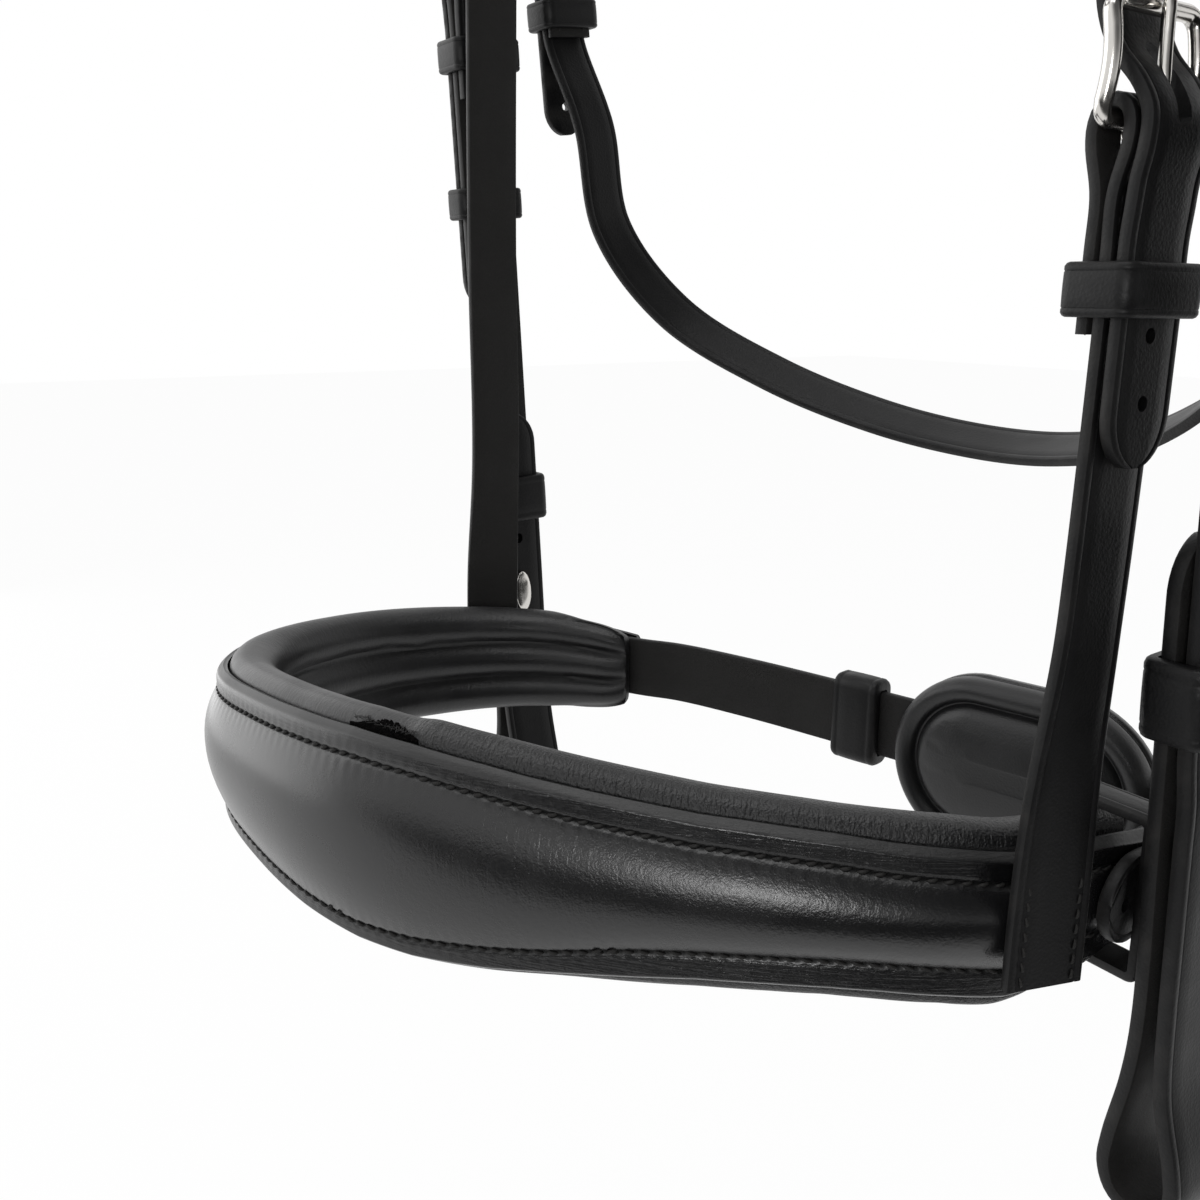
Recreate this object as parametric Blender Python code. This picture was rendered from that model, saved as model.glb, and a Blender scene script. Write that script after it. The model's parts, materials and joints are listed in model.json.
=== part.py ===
"""Black leather riding bridle with a padded, raised noseband.

Metres, +Z up. The horse's nose points to -Y and its left (near) side is +X.
Z = 0 is the level of the noseband's middle line. Run it with
blender --background --python part.py, or from the text editor.
"""
import math

import bmesh
import bpy
import numpy as np
from mathutils import Matrix, Vector

OFF = -1
NEAR = 1

# Leather thicknesses and strap widths
STRAP_THICK = 0.0024
CHEEK_THICK = 0.0028
CHEEK_WIDTH = 0.016
HANGER_WIDTH = 0.015
HANGER_THICK = 0.0022
THROAT_WIDTH = 0.013
CHIN_WIDTH = 0.0165
CROWN_WIDTH = 0.038
CROWN_THICK = 0.0028
KEEPER_THICK = 0.0020
HOLE_RADIUS = 0.0013
FINE_HOLE_RADIUS = 0.0012
GAP = 0.0003
FOLD_GAP = 0.00060
SAG = 0.00020

# Noseband: lengths are measured along the band from the middle of the nose to each side
BAND_END = {OFF: 0.196, NEAR: 0.178}
FILLER_END = 0.160
HANGER_ARC = {OFF: 0.1518, NEAR: 0.1480}
BAND_THICK = 0.0027
BAND_RAISE = 0.0036
STITCH_MARGIN = 0.0052
PADDING_OVERHANG = 0.0032
PADDING_THICK = 0.0118
ROLL_DEPTH = 0.0030

# Cheekpieces: outward distance of the buckle's heel bar, and heights
CHEEK_OUT = 0.1135
CHEEK_BUCKLE_Z = 0.190
BILLET_TIP_Z = 0.068
STUD_Z = 0.0115
BIT_LOOP_Z = -0.050
BIT_LOOP_RADIUS = 0.0065
BIT_FACE_OUT = 0.0006
BIT_FACE_TOP = 0.0155
BIT_FACE_FOOT = -0.0055
BILLET_GAP = 0.0014
BILLET_KEEPER_Z = 0.0418
CHEEK_TAIL = 0.092

# Buckles
BAR_RADIUS = 0.0013
BUCKLE_LENGTH = 0.016
TONGUE_RADIUS = 0.0010
ROLLER_RADIUS = 0.0023

# Poll arch
ARCH_OUT = 0.108
ARCH_Z = 0.240
ARCH_RISE = 0.118
CROWN_Y = 0.024
CHEEK_TAIL_Y = 0.0140
THROAT_TAIL_Y = 0.0355
CROWN_PADDING_THICK = 0.0082
HEADSTRAP_Y = 0.022

# Browband and throatlash buckles
BROWBAND_Z = 0.240
BROWBAND_HEIGHT = 0.018
BROWBAND_THICK = 0.0026
BROWBAND_PADDING_THICK = 0.0065
BROWBAND_LOOP_OUT = 0.1045
BROWBAND_LOOP_Y = 0.0225
THROAT_BUCKLE_OUT = 0.1085
THROAT_BUCKLE_Y = 0.0400
THROAT_BUCKLE_DROP = 0.040
THROAT_TAIL = 0.052
THROAT_REST = STRAP_THICK * 1.5 + 0.0006 + GAP

for old in list(bpy.data.objects):
    bpy.data.objects.remove(old, do_unlink=True)

bridle = bpy.data.collections.new("bridle")
cutters = bpy.data.collections.new("cutters")
for group in (bridle, cutters):
    bpy.context.scene.collection.children.link(group)


def material(name, color, roughness, metallic=0.0):
    mat = bpy.data.materials.new(name)
    mat.use_nodes = True
    shader = mat.node_tree.nodes["Principled BSDF"]
    shader.inputs["Base Color"].default_value = (*color, 1.0)
    shader.inputs["Roughness"].default_value = roughness
    shader.inputs["Metallic"].default_value = metallic
    return mat


LEATHER = ("leather", (0.012, 0.012, 0.013), 0.34, 0.0)
SMOOTH_LEATHER = ("smooth_leather", (0.010, 0.010, 0.011), 0.24, 0.0)
SOFT_LEATHER = ("soft_leather", (0.018, 0.018, 0.019), 0.55, 0.0)
FELT = ("felt", (0.030, 0.029, 0.028), 0.95, 0.0)
STEEL = ("steel", (0.62, 0.60, 0.56), 0.22, 1.0)


def finish(obj, look, collection=bridle):
    """Puts an object in its collection with a material of its own."""
    collection.objects.link(obj)
    if look:
        obj.data.materials.append(material(obj.name + "_" + look[0], *look[1:]))
    return obj


def pivot(obj, point):
    """Puts the origin of a moving piece on its joint axis."""
    obj.data.transform(Matrix.Translation(-Vector(point)))
    obj.location = point
    return obj


# Routes: smooth curves through a few points chosen by hand
def evenly(fine, spacing):
    """A finely sampled curve, sampled again at an even spacing."""
    arc = arcs(fine)
    count = max(2, int(round(arc[-1] / spacing)))
    s = np.linspace(0, arc[-1], count + 1)
    return np.stack([np.interp(s, arc, fine[:, k]) for k in range(fine.shape[1])], -1)


def bends(points, spacing):
    """Route through the points that stays straight where three of them are in line."""
    p = np.array(points, float)
    p = np.vstack([2 * p[0] - p[1], p, 2 * p[-1] - p[-2]])
    fine = []
    for a, b, c, d in zip(p[:-3], p[1:-2], p[2:-1], p[3:]):
        t1 = np.linalg.norm(b - a) ** 0.5
        t2 = t1 + np.linalg.norm(c - b) ** 0.5
        t3 = t2 + np.linalg.norm(d - c) ** 0.5
        for t in np.linspace(t1, t2, 20, endpoint=False):
            ab = a + (b - a) * t / t1
            bc = b + (c - b) * (t - t1) / (t2 - t1)
            cd = c + (d - c) * (t - t2) / (t3 - t2)
            left = ab + (bc - ab) * t / t2
            right = bc + (cd - bc) * (t - t1) / (t3 - t1)
            fine.append(left + (right - left) * (t - t1) / (t2 - t1))
    fine.append(p[-2])
    return evenly(np.array(fine), spacing)


def smooth_loop(points, spacing):
    """Closed cubic spline through the points, sampled at an even spacing."""
    p = np.array(points, float)
    p = np.vstack([p, p[:1]])
    t = np.concatenate([[0.0], np.cumsum(np.linalg.norm(np.diff(p, axis=0), axis=1))])
    n = len(p)
    h = np.diff(t)
    slope = np.diff(p, axis=0) / h[:, None]
    a = np.zeros((n, n))
    b = np.zeros((n, p.shape[1]))
    for i in range(1, n - 1):
        a[i, i - 1:i + 2] = h[i - 1], 2 * (h[i - 1] + h[i]), h[i]
        b[i] = 6 * (slope[i] - slope[i - 1])
    a[0, 0], a[0, -1] = 1, -1
    a[-1, 0], a[-1, 1] = 2 * h[0], h[0]
    a[-1, -1], a[-1, -2] = 2 * h[-1], h[-1]
    b[-1] = 6 * (slope[0] - slope[-1])
    m = np.linalg.solve(a, b)
    fine = []
    for i in range(n - 1):
        for x in np.linspace(0, h[i], 24, endpoint=False):
            y = h[i] - x
            bend = (m[i] * y ** 3 + m[i + 1] * x ** 3) / (6 * h[i])
            left = p[i] / h[i] - m[i] * h[i] / 6
            right = p[i + 1] / h[i] - m[i + 1] * h[i] / 6
            fine.append(bend + left * y + right * x)
    fine.append(p[-1])
    return evenly(np.array(fine), spacing)


def arcs(route):
    return np.concatenate([[0.0], np.cumsum(np.linalg.norm(np.diff(route, axis=0), axis=1))])


def along(route, s):
    """Points at arc lengths s of a sampled route."""
    total = arcs(route)
    return np.stack([np.interp(s, total, route[:, k]) for k in range(route.shape[1])], -1)


def unit(v):
    return v / np.linalg.norm(v, axis=-1, keepdims=True)


def tangents(route):
    return unit(np.gradient(route, axis=0))


def by_bend(route, most_length):
    """Arc lengths of the rings a strap needs so that no chord leaves its route by more than SAG."""
    total = arcs(route)
    keep = [0]
    for i in range(2, len(route)):
        start = keep[-1]
        between = route[start + 1:i] - route[start]
        off = np.linalg.norm(np.cross(between, unit(route[i] - route[start])), axis=1)
        if len(off) and (off.max() > SAG or total[i] - total[start] > most_length):
            keep.append(i - 1)
    return total[keep + [len(route) - 1]]


def cap_across(bm, row):
    """Closes an oblong outline with strips across it, so that the cap bends along its length."""
    n = len(row)
    bm.faces.new((row[0], row[1], row[n - 1]))
    for k in range(1, n // 2 - 1):
        bm.faces.new((row[k], row[k + 1], row[n - k - 1], row[n - k]))
    bm.faces.new((row[n // 2 - 1], row[n // 2], row[n // 2 + 1]))


def sweep(name, rings, look, closed=False, across=False):
    """Skins a list of rings, each a list of 3-D points in the same order."""
    bm = bmesh.new()
    rows = [[bm.verts.new(Vector(point)) for point in ring] for ring in rings]
    pairs = list(zip(rows[:-1], rows[1:]))
    if closed:
        pairs.append((rows[-1], rows[0]))
    for first, second in pairs:
        for i in range(len(first)):
            j = (i + 1) % len(first)
            bm.faces.new((first[i], first[j], second[j], second[i]))
    if across:
        cap_across(bm, rows[0])
        cap_across(bm, rows[-1])
    elif not closed:
        bm.faces.new(rows[0][::-1])
        bm.faces.new(rows[-1])
    bmesh.ops.recalc_face_normals(bm, faces=bm.faces)
    mesh = bpy.data.meshes.new(name)
    bm.to_mesh(mesh)
    bm.free()
    return finish(bpy.data.objects.new(name, mesh), look)


def flat_section(half, thick, edge=0.0005):
    """Cross-section of a cut strap: flat faces and eased edges."""
    t = thick / 2
    e = min(edge, half * 0.5)
    return [(half, t - e), (half - e, t), (-half + e, t), (-half, t - e),
            (-half, -t + e), (-half + e, -t), (half - e, -t), (half, -t + e)]


def place(centre, across, facing, section):
    return [centre + across * a + facing * f for a, f in section]


def strap(name, route, facing, width, thick, look, tip_start=False, tip_end=False, keep=None):
    """A flat strap along a sampled route; tips are rounded where asked for."""
    total = arcs(route)
    length = total[-1]
    half = width / 2
    reach = half * 1.15
    steps = reach * np.array([0.03, 0.18, 0.45, 0.8])
    s = list(total if keep is None else keep)
    if tip_start:
        s = [x for x in s if x > reach] + list(steps)
    if tip_end:
        s = [x for x in s if x < length - reach] + list(length - steps)
    s = np.array(sorted(s))
    centre = along(route, s)
    ahead = tangents(route)
    ahead = unit(np.stack([np.interp(s, total, ahead[:, k]) for k in range(3)], -1))
    face = np.stack([np.interp(s, total, facing[:, k]) for k in range(3)], -1)
    face = unit(face - np.sum(face * ahead, -1, keepdims=True) * ahead)
    across = np.cross(face, ahead)
    rings = []
    for i, x in enumerate(s):
        h = half
        if tip_start and x < reach:
            h = half * math.sqrt(max(0.02, 1 - (1 - x / reach) ** 2))
        if tip_end and length - x < reach:
            h = half * math.sqrt(max(0.02, 1 - (1 - (length - x) / reach) ** 2))
        rings.append(place(centre[i], across[i], face[i], flat_section(h, thick)))
    return sweep(name, rings, look)


def cutter(name, pieces):
    """One hidden object holding straight cutting prisms: (matrix, half sizes or radius)."""
    bm = bmesh.new()
    for matrix, size in pieces:
        if isinstance(size, float):
            bmesh.ops.create_cone(bm, cap_ends=True, segments=12, radius1=size, radius2=size,
                                  depth=0.012, matrix=matrix)
        else:
            bmesh.ops.create_cube(bm, size=2.0, matrix=matrix @ Matrix.Diagonal((*size, 1.0)))
    mesh = bpy.data.meshes.new(name)
    bm.to_mesh(mesh)
    bm.free()
    obj = finish(bpy.data.objects.new(name, mesh), None, cutters)
    obj.hide_render = True
    obj.display_type = "WIRE"
    return obj


def cut(obj, tool, operation="DIFFERENCE"):
    mod = obj.modifiers.new("cut", "BOOLEAN")
    mod.operation = operation
    mod.solver = "EXACT"
    mod.object = tool


def basis(origin, x, y, z):
    m = Matrix.Identity(4)
    for k, axis in enumerate((x, y, z)):
        for r in range(3):
            m[r][k] = axis[r]
    for r in range(3):
        m[r][3] = origin[r]
    return m


class Place:
    """A local frame on a strap: x runs along it, y across it and z outwards."""

    def __init__(self, origin, x, z):
        self.o = np.array(origin, float)
        self.x = unit(np.array(x, float))
        z = np.array(z, float)
        self.z = unit(z - np.dot(z, self.x) * self.x)
        self.y = np.cross(self.z, self.x)

    def at(self, x, z, y=0.0):
        return self.o + self.x * x + self.y * y + self.z * z

    def matrix(self, x=0.0, z=0.0, y=0.0):
        return basis(self.at(x, z, y), self.x, self.y, self.z)


def wire(name, points, radius, look, closed=False, rounds=1):
    """A bent round rod: a poly curve with a round bevel."""
    data = bpy.data.curves.new(name, "CURVE")
    data.dimensions = "3D"
    data.bevel_depth = radius
    data.bevel_resolution = rounds
    data.use_fill_caps = not closed
    line = data.splines.new("POLY")
    line.points.add(len(points) - 1)
    for point, co in zip(line.points, points):
        point.co = (*co, 1.0)
    line.use_cyclic_u = closed
    return finish(bpy.data.objects.new(name, data), look)


def buckle(name, spot, width, front=BAR_RADIUS, roller=False):
    """Heel-bar buckle with its tongue; spot's origin is on the heel bar."""
    half = width / 2 + 0.0027
    corner = 0.0024
    bow = 0.0012
    path = []
    far = BUCKLE_LENGTH - corner
    side = half - corner
    for cx, cy, start in ((far, side, 0), (corner, side, 90), (corner, -side, 180), (far, -side, 270)):
        for turn in (0, 30, 60, 90):
            ang = math.radians(start + turn)
            path.append((cx + corner * math.cos(ang), cy + corner * math.sin(ang)))
    points = []
    for x, y in path:
        share = min(max(x / BUCKLE_LENGTH, 0), 1)
        rise = bow * math.sin(math.pi * share) if abs(y) > side else 0.0
        points.append(spot.at(x, rise, y))
    wire(name + "_frame", points, BAR_RADIUS, STEEL, closed=True)
    ring = BAR_RADIUS + 0.00025 + TONGUE_RADIUS
    rest = front + 0.0001 + TONGUE_RADIUS
    tongue = [spot.at(ring * math.cos(math.radians(a)), ring * math.sin(math.radians(a)))
              for a in (-28, -60, -95, -130, -165, -200, -235)]
    tongue += [spot.at(0.0004, ring), spot.at(0.0040, (ring + rest) / 2 + 0.0004)]
    tongue += [spot.at(BUCKLE_LENGTH - 0.002, rest), spot.at(BUCKLE_LENGTH + 0.0012, rest)]
    tongue += [spot.at(BUCKLE_LENGTH + 0.0022, rest - 0.0003)]
    pivot(wire(name + "_tongue", tongue, TONGUE_RADIUS, STEEL), spot.o)
    if roller:
        middle = spot.at(BUCKLE_LENGTH, 0)
        tube(name + "_roller", middle, spot.y, BAR_RADIUS + 0.00012, ROLLER_RADIUS, width - 0.002)


def tube(name, centre, axis, inner, outer, length):
    """A short tube, turned from its wall's section."""
    axis = unit(axis)
    side = unit(np.cross(axis, (0.3, 0.9, 0.2)))
    other = np.cross(axis, side)
    bore = inner / math.cos(math.pi / 16)
    wall = [(bore, -length / 2), (outer, -length / 2), (outer, length / 2), (bore, length / 2)]
    rings = []
    for k in range(16):
        ang = 2 * math.pi * k / 16
        out = side * math.cos(ang) + other * math.sin(ang)
        rings.append([centre + out * r + axis * z for r, z in wall])
    return pivot(sweep(name, rings, STEEL, closed=True), centre)


def keeper(name, spot, half_width, low, high, length, thick=KEEPER_THICK):
    """A leather strip bent round a stack of straps, from z = low to high in the local frame."""
    a = half_width + GAP + thick / 2
    b = (high - low) / 2 + GAP + thick / 2
    mid = (high + low) / 2
    corner = thick / 2 + 0.0006
    wide = a - corner
    tall = b - corner
    rings = []
    for cy, cz, start in ((wide, tall, 0), (-wide, tall, 90), (-wide, -tall, 180), (wide, -tall, 270)):
        for turn in (0, 45, 90):
            ang = math.radians(start + turn)
            out = (math.cos(ang), math.sin(ang))
            y = cy + corner * out[0]
            z = mid + cz + corner * out[1]
            ring = []
            for x, r in ((-0.5, -0.5), (0.5, -0.5), (0.5, 0.1), (0.3, 0.5), (-0.3, 0.5), (-0.5, 0.1)):
                ring.append(spot.at(x * length, z + out[1] * r * thick, y + out[0] * r * thick))
            rings.append(ring)
    return pivot(sweep(name, rings, LEATHER, closed=True), spot.o)


def billet_points(reach, tail, fold, front=BAR_RADIUS):
    """Side view of a strap through a buckle: under the front bar, over the heel bar, then the tail."""
    under = -(front + GAP + STRAP_THICK / 2 + 0.0009)
    over = fold + GAP + STRAP_THICK / 2
    length = BUCKLE_LENGTH
    rest = tail[1]
    points = [(length + reach, under), (length + reach * 0.5, under), (length + 0.0012, under)]
    points += [(length - 0.0058, under * 0.25), (length - 0.0110, over * 0.62)]
    points += [(0.0010, over), (-0.0040, over), (-0.0080, over * 0.45 + rest * 0.55)]
    points += [(-0.0120, rest + 0.0003), (-0.0160, rest), (-0.0220, rest)]
    points += [(-tail[0] * 0.6 - 0.006, rest), (-tail[0], rest)]
    return points


# The noseband's middle line, seen from above: the curve on which leather and padding meet
GUIDE = [(-38, -82), (-10, -79), (15, -70.5), (40, -54), (62, -35), (81.5, -15), (92.4, 1),
         (96.5, 15), (97.7, 30), (98, 45), (98, 60), (96.4, 67.2), (92.1, 71.6), (86, 73.1),
         (80, 72.0), (64, 68.6), (43, 64.2), (24, 60.2), (5, 56), (-34, 46), (-61, 35),
         (-84.5, 18), (-98, -6), (-102, -27), (-98, -49), (-84, -69.5), (-62, -80.5)]
NOSE_SHIFT = 0.020
guide = smooth_loop([(x / 1000, y / 1000) for x, y in GUIDE], 0.0008)
GUIDE_LENGTH = arcs(guide)[-1]


def guide_at(s):
    """Point, outward normal and tangent at arc s from the middle of the nose, towards the near side."""
    x = (s + NOSE_SHIFT) % GUIDE_LENGTH
    step = 0.003
    point = along(guide, np.array([x]))[0]
    ahead = along(guide, np.array([(x + step) % GUIDE_LENGTH]))[0]
    behind = along(guide, np.array([(x - step) % GUIDE_LENGTH]))[0]
    tangent = unit(ahead - behind)
    normal = np.array([tangent[1], -tangent[0], 0.0])
    return np.array([*point, 0.0]), normal, np.array([*tangent, 0.0])


# Half height of the front leather at each arc: tall on the nose, low on the cheeks and at the ends
BAND_HEIGHTS = [(-0.196, 0.0086), (-0.185, 0.0098), (-0.170, 0.0112), (-0.134, 0.0128),
                (-0.100, 0.0141), (-0.080, 0.0152), (-0.060, 0.0164), (-0.044, 0.0175),
                (-0.027, 0.0188), (-0.010, 0.0202), (0.005, 0.0213), (0.022, 0.0220),
                (0.036, 0.0216), (0.052, 0.0201), (0.070, 0.0178), (0.092, 0.0152),
                (0.115, 0.0137), (0.143, 0.0124), (0.162, 0.0113), (0.178, 0.0094)]


def band_half(s):
    arc, half = zip(*BAND_HEIGHTS)
    return float(np.interp(s, arc, half))


def raise_at(s):
    """How far the filler lifts the leather at arc s."""
    return BAND_RAISE * float(np.clip((FILLER_END + 0.008 - abs(s)) / 0.016, 0, 1)) ** 0.7


def band_ring(s, section):
    point, normal, _ = guide_at(s)
    return [point + normal * m + np.array([0, 0, v]) for v, m in section]


def leather_section(s):
    half = band_half(s)
    inner = half - STITCH_MARGIN
    lift = raise_at(s)
    steps = (1.0, 0.86, 0.62, 0.25, -0.25, -0.62, -0.86, -1.0)
    outer = [(half - 0.0005, BAND_THICK)]
    outer += [(inner * k, BAND_THICK + lift * (1 - abs(k) ** 2.4)) for k in steps]
    outer += [(-half + 0.0005, BAND_THICK), (-half, BAND_THICK - 0.0006), (-half, 0.0)]
    under = [(inner * k * 0.94, lift * (1 - abs(k) ** 2.4)) for k in (-1.0, -0.7, -0.25, 0.25, 0.7, 1.0)]
    return outer + under + [(half, 0.0), (half, BAND_THICK - 0.0006)]


def band_steps(margin, count):
    """Arcs from the off end to the near end of the band, each end pulled in by a margin."""
    return list(np.linspace(-BAND_END[OFF] + margin, BAND_END[NEAR] - margin, count))


BAND_STEPS = band_steps(0.0, 50)
sweep("noseband_front_leather", [band_ring(s, leather_section(s)) for s in BAND_STEPS], SMOOTH_LEATHER)


def filler_section(s):
    half = (band_half(s) - STITCH_MARGIN) * 0.94 - 0.0006
    lift = max(raise_at(s) - 2 * GAP, 0.0002) * 0.93
    steps = (0.99, 0.7, 0.25, -0.25, -0.7, -0.99)
    top = [(half * k, GAP * 0.4 + lift * (1 - abs(k) ** 2.2)) for k in steps]
    return top + [(-half * 0.99, -GAP * 0.2), (half * 0.99, -GAP * 0.2)]


FILLER_STEPS = [s for s in BAND_STEPS if abs(s) < FILLER_END]
sweep("noseband_filler", [band_ring(s, filler_section(s)) for s in FILLER_STEPS], FELT)


def padding_section(s):
    """Soft backing: an outer face under the leather and three rolls on the inner face."""
    left = min(s + BAND_END[OFF], BAND_END[NEAR] - s) + 0.001
    end = math.sqrt(max(0.0, 1 - max(0.0, 1 - left / 0.010) ** 2))
    half = (band_half(s) + PADDING_OVERHANG) * (0.72 + 0.28 * end)
    back = -GAP - 0.0030 * float(np.clip((0.026 - left) / 0.010, 0, 1))
    thinner = 0.25 * float(np.clip((0.070 - left) / 0.070, 0, 1))
    thick = PADDING_THICK * (0.45 + 0.55 * end) * (1 - thinner)
    depth = ROLL_DEPTH * end
    points = [(0.86, back), (0.97, back - 0.0014), (1.0, back - 0.0040), (0.965, -thick * 0.66)]
    rolls = ((0.86, 0.55), (0.70, 0.1), (0.52, 0.0), (0.38, 0.7), (0.30, 1.0), (0.20, 0.45), (0.0, 0.0))
    for v, drop in rolls:
        points.append((v, -thick + depth * drop))
    points += [(-v, m) for v, m in points[:-1][::-1]]
    return [(half * v, m) for v, m in points]


tips = [0.0002, 0.0018, 0.0050]
PADDING_STEPS = [-BAND_END[OFF] + d for d in tips]
PADDING_STEPS += band_steps(0.010, 44)
PADDING_STEPS += [BAND_END[NEAR] - d for d in tips[::-1]]
sweep("noseband_padding", [band_ring(s, padding_section(s)) for s in PADDING_STEPS], SOFT_LEATHER)


# Chin strap: sewn between leather and padding at the off end, buckled at the near end
CHIN_BUCKLE_ARC = 0.1860
CHIN_BUCKLE_OUT = 0.0012
CHIN_TAIL = 0.026
SEWN_IN = 0.0016
point, normal, tangent = guide_at(CHIN_BUCKLE_ARC)
chin_spot = Place(point + normal * CHIN_BUCKLE_OUT, tangent, normal)
chin_fold = BAR_RADIUS + FOLD_GAP + STRAP_THICK


def tail_lift(s):
    """Distance of the tail's middle from the guide where it lies on the raised leather."""
    return BAND_THICK + raise_at(s) + 2 * GAP + STRAP_THICK / 2


chin_route = []
for back in (CHIN_TAIL, CHIN_TAIL - 0.006, 0.0155, 0.0120):
    p, n, _ = guide_at(CHIN_BUCKLE_ARC - back)
    chin_route.append(p + n * tail_lift(CHIN_BUCKLE_ARC - back))
through_buckle = billet_points(0.005, (CHIN_TAIL, 0.0030), chin_fold, ROLLER_RADIUS)
chin_route += [chin_spot.at(x, z) for x, z in through_buckle[::-1] if x > -0.010]
off_end = GUIDE_LENGTH - BAND_END[OFF]
past_buckle = CHIN_BUCKLE_ARC + BUCKLE_LENGTH + 0.013
chin_arcs = [(past_buckle + d, 0.0) for d in (0.0, 0.0055, 0.0110)]
chin_arcs += [(s, 0.0) for s in (0.240, 0.258, 0.276, 0.295, 0.310, 0.335, off_end - 0.014)]
chin_arcs += [(off_end - 0.004, -0.0014), (off_end + 0.006, -SEWN_IN), (off_end + 0.014, -SEWN_IN)]
for s, lift in chin_arcs:
    p, n, _ = guide_at(s)
    chin_route.append(p + n * lift)
chin_route = bends(chin_route, 0.0015)


def outward(route):
    """Facing directions for a route round the noseband: away from the middle of the loop."""
    ahead = tangents(route)
    return np.stack([ahead[:, 1], -ahead[:, 0], 0 * ahead[:, 0]], -1)


chin_strap = strap("chin_strap", chin_route, outward(chin_route), CHIN_WIDTH, STRAP_THICK, LEATHER,
                   tip_start=True, keep=by_bend(chin_route, 0.016))


def guide_place(s, out=0.0):
    p, n, t = guide_at(s)
    return Place(p + n * out, t, n)


def tongue_slot(spot, start=-0.0009, stop=0.0112):
    """Oblong opening in a strap where a buckle's tongue comes through."""
    mid = (start + stop) / 2
    return spot.matrix(mid, 0.0022), ((stop - start) / 2, 0.0017, 0.0075)


chin_holes = [(guide_place(CHIN_BUCKLE_ARC - d, 0.003).matrix(), HOLE_RADIUS) for d in (0.0125, 0.0205)]
cut(chin_strap, cutter("chin_strap_holes", [tongue_slot(chin_spot)] + chin_holes))

# Chape that carries the chin buckle: folded round the heel bar and sewn under the leather
fold = BAR_RADIUS + FOLD_GAP + STRAP_THICK / 2
chape = []
for s in (0.1635, 0.169, 0.174, 0.1785):
    p, n, _ = guide_at(s)
    chape.append(p - n * SEWN_IN)
for x, z in ((-0.0045, -fold * 0.98), (-0.0005, -fold), (fold * 0.72, -fold * 0.72), (fold, 0.0),
             (fold * 0.72, fold * 0.72), (-0.0005, fold), (-0.0040, fold * 0.80), (-0.0068, fold * 0.60)):
    chape.append(chin_spot.at(x, z))
chape = bends(chape, 0.0010)
chape_obj = strap("chin_buckle_chape", chape, outward(chape), CHIN_WIDTH - 0.001, STRAP_THICK * 0.92,
                  LEATHER, keep=by_bend(chape, 0.010))
cut(chape_obj, cutter("chin_buckle_chape_slot", [(chin_spot.matrix(), (0.0052, 0.0017, 0.0060))]))
buckle("chin_buckle", chin_spot, CHIN_WIDTH, ROLLER_RADIUS, roller=True)

tail_top = BAND_THICK + GAP + STRAP_THICK + 0.0008
keeper("chin_tail_keeper", guide_place(0.1720), band_half(0.167) + PADDING_OVERHANG, -PADDING_THICK,
       tail_top, 0.0075)
keeper("chin_strap_runner", guide_place(0.3008), CHIN_WIDTH / 2, -STRAP_THICK / 2, STRAP_THICK / 2,
       0.0125, thick=0.0026)

# Chin pad: a stadium of leather with a soft, grooved cushion on its inner face
PAD_ARC = 0.2545
PAD_HALF_LENGTH = 0.0300
PAD_HALF_HEIGHT = 0.0205


def pad_ring(rim, depth):
    """The pad's outline, pulled in by rim, at a depth inside the guide."""
    ring = []
    straight = PAD_HALF_LENGTH - PAD_HALF_HEIGHT
    for k in range(28):
        ang = 2 * math.pi * k / 28
        x = (straight if math.cos(ang) > 0 else -straight) + (PAD_HALF_HEIGHT - rim) * math.cos(ang)
        v = (PAD_HALF_HEIGHT - rim) * math.sin(ang)
        p, n, _ = guide_at(PAD_ARC + x)
        ring.append(p - n * depth + np.array([0, 0, v]))
    return ring


def pad(name, levels, look):
    obj = sweep(name, [pad_ring(rim, depth) for rim, depth in levels], look, across=True)
    return pivot(obj, guide_at(PAD_ARC)[0])


PAD_FACE = 0.0042
plate = [(0.0006, 0.0), (0.0, 0.0006), (0.0, 0.0020), (0.0006, 0.0026)]
cushion = [(0.0006, 0.0030), (0.0, 0.0046), (0.0004, 0.0070), (0.0024, 0.0088), (0.0046, 0.0080),
           (0.0056, 0.0060), (0.0068, 0.0078), (0.0100, 0.0094), (0.0150, 0.0100)]
pad("chin_pad_backing", [(rim, PAD_FACE + depth) for rim, depth in plate], SMOOTH_LEATHER)
pad("chin_pad_cushion", [(rim, PAD_FACE + depth) for rim, depth in cushion], SOFT_LEATHER)
for label, shift in (("near", -0.012), ("off", 0.016)):
    keeper("chin_pad_loop_" + label, guide_place(PAD_ARC + shift), CHIN_WIDTH / 2,
           -STRAP_THICK / 2 - 0.0006, STRAP_THICK / 2 + 0.0002, 0.0085, thick=0.0018)


# Sides: cheekpieces, their buckles, studs and keepers
CHEEK_LEAN = (0, -0.06, 1)


def cheek_y(z):
    return 0.0274 + CHEEK_LEAN[1] * z


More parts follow.
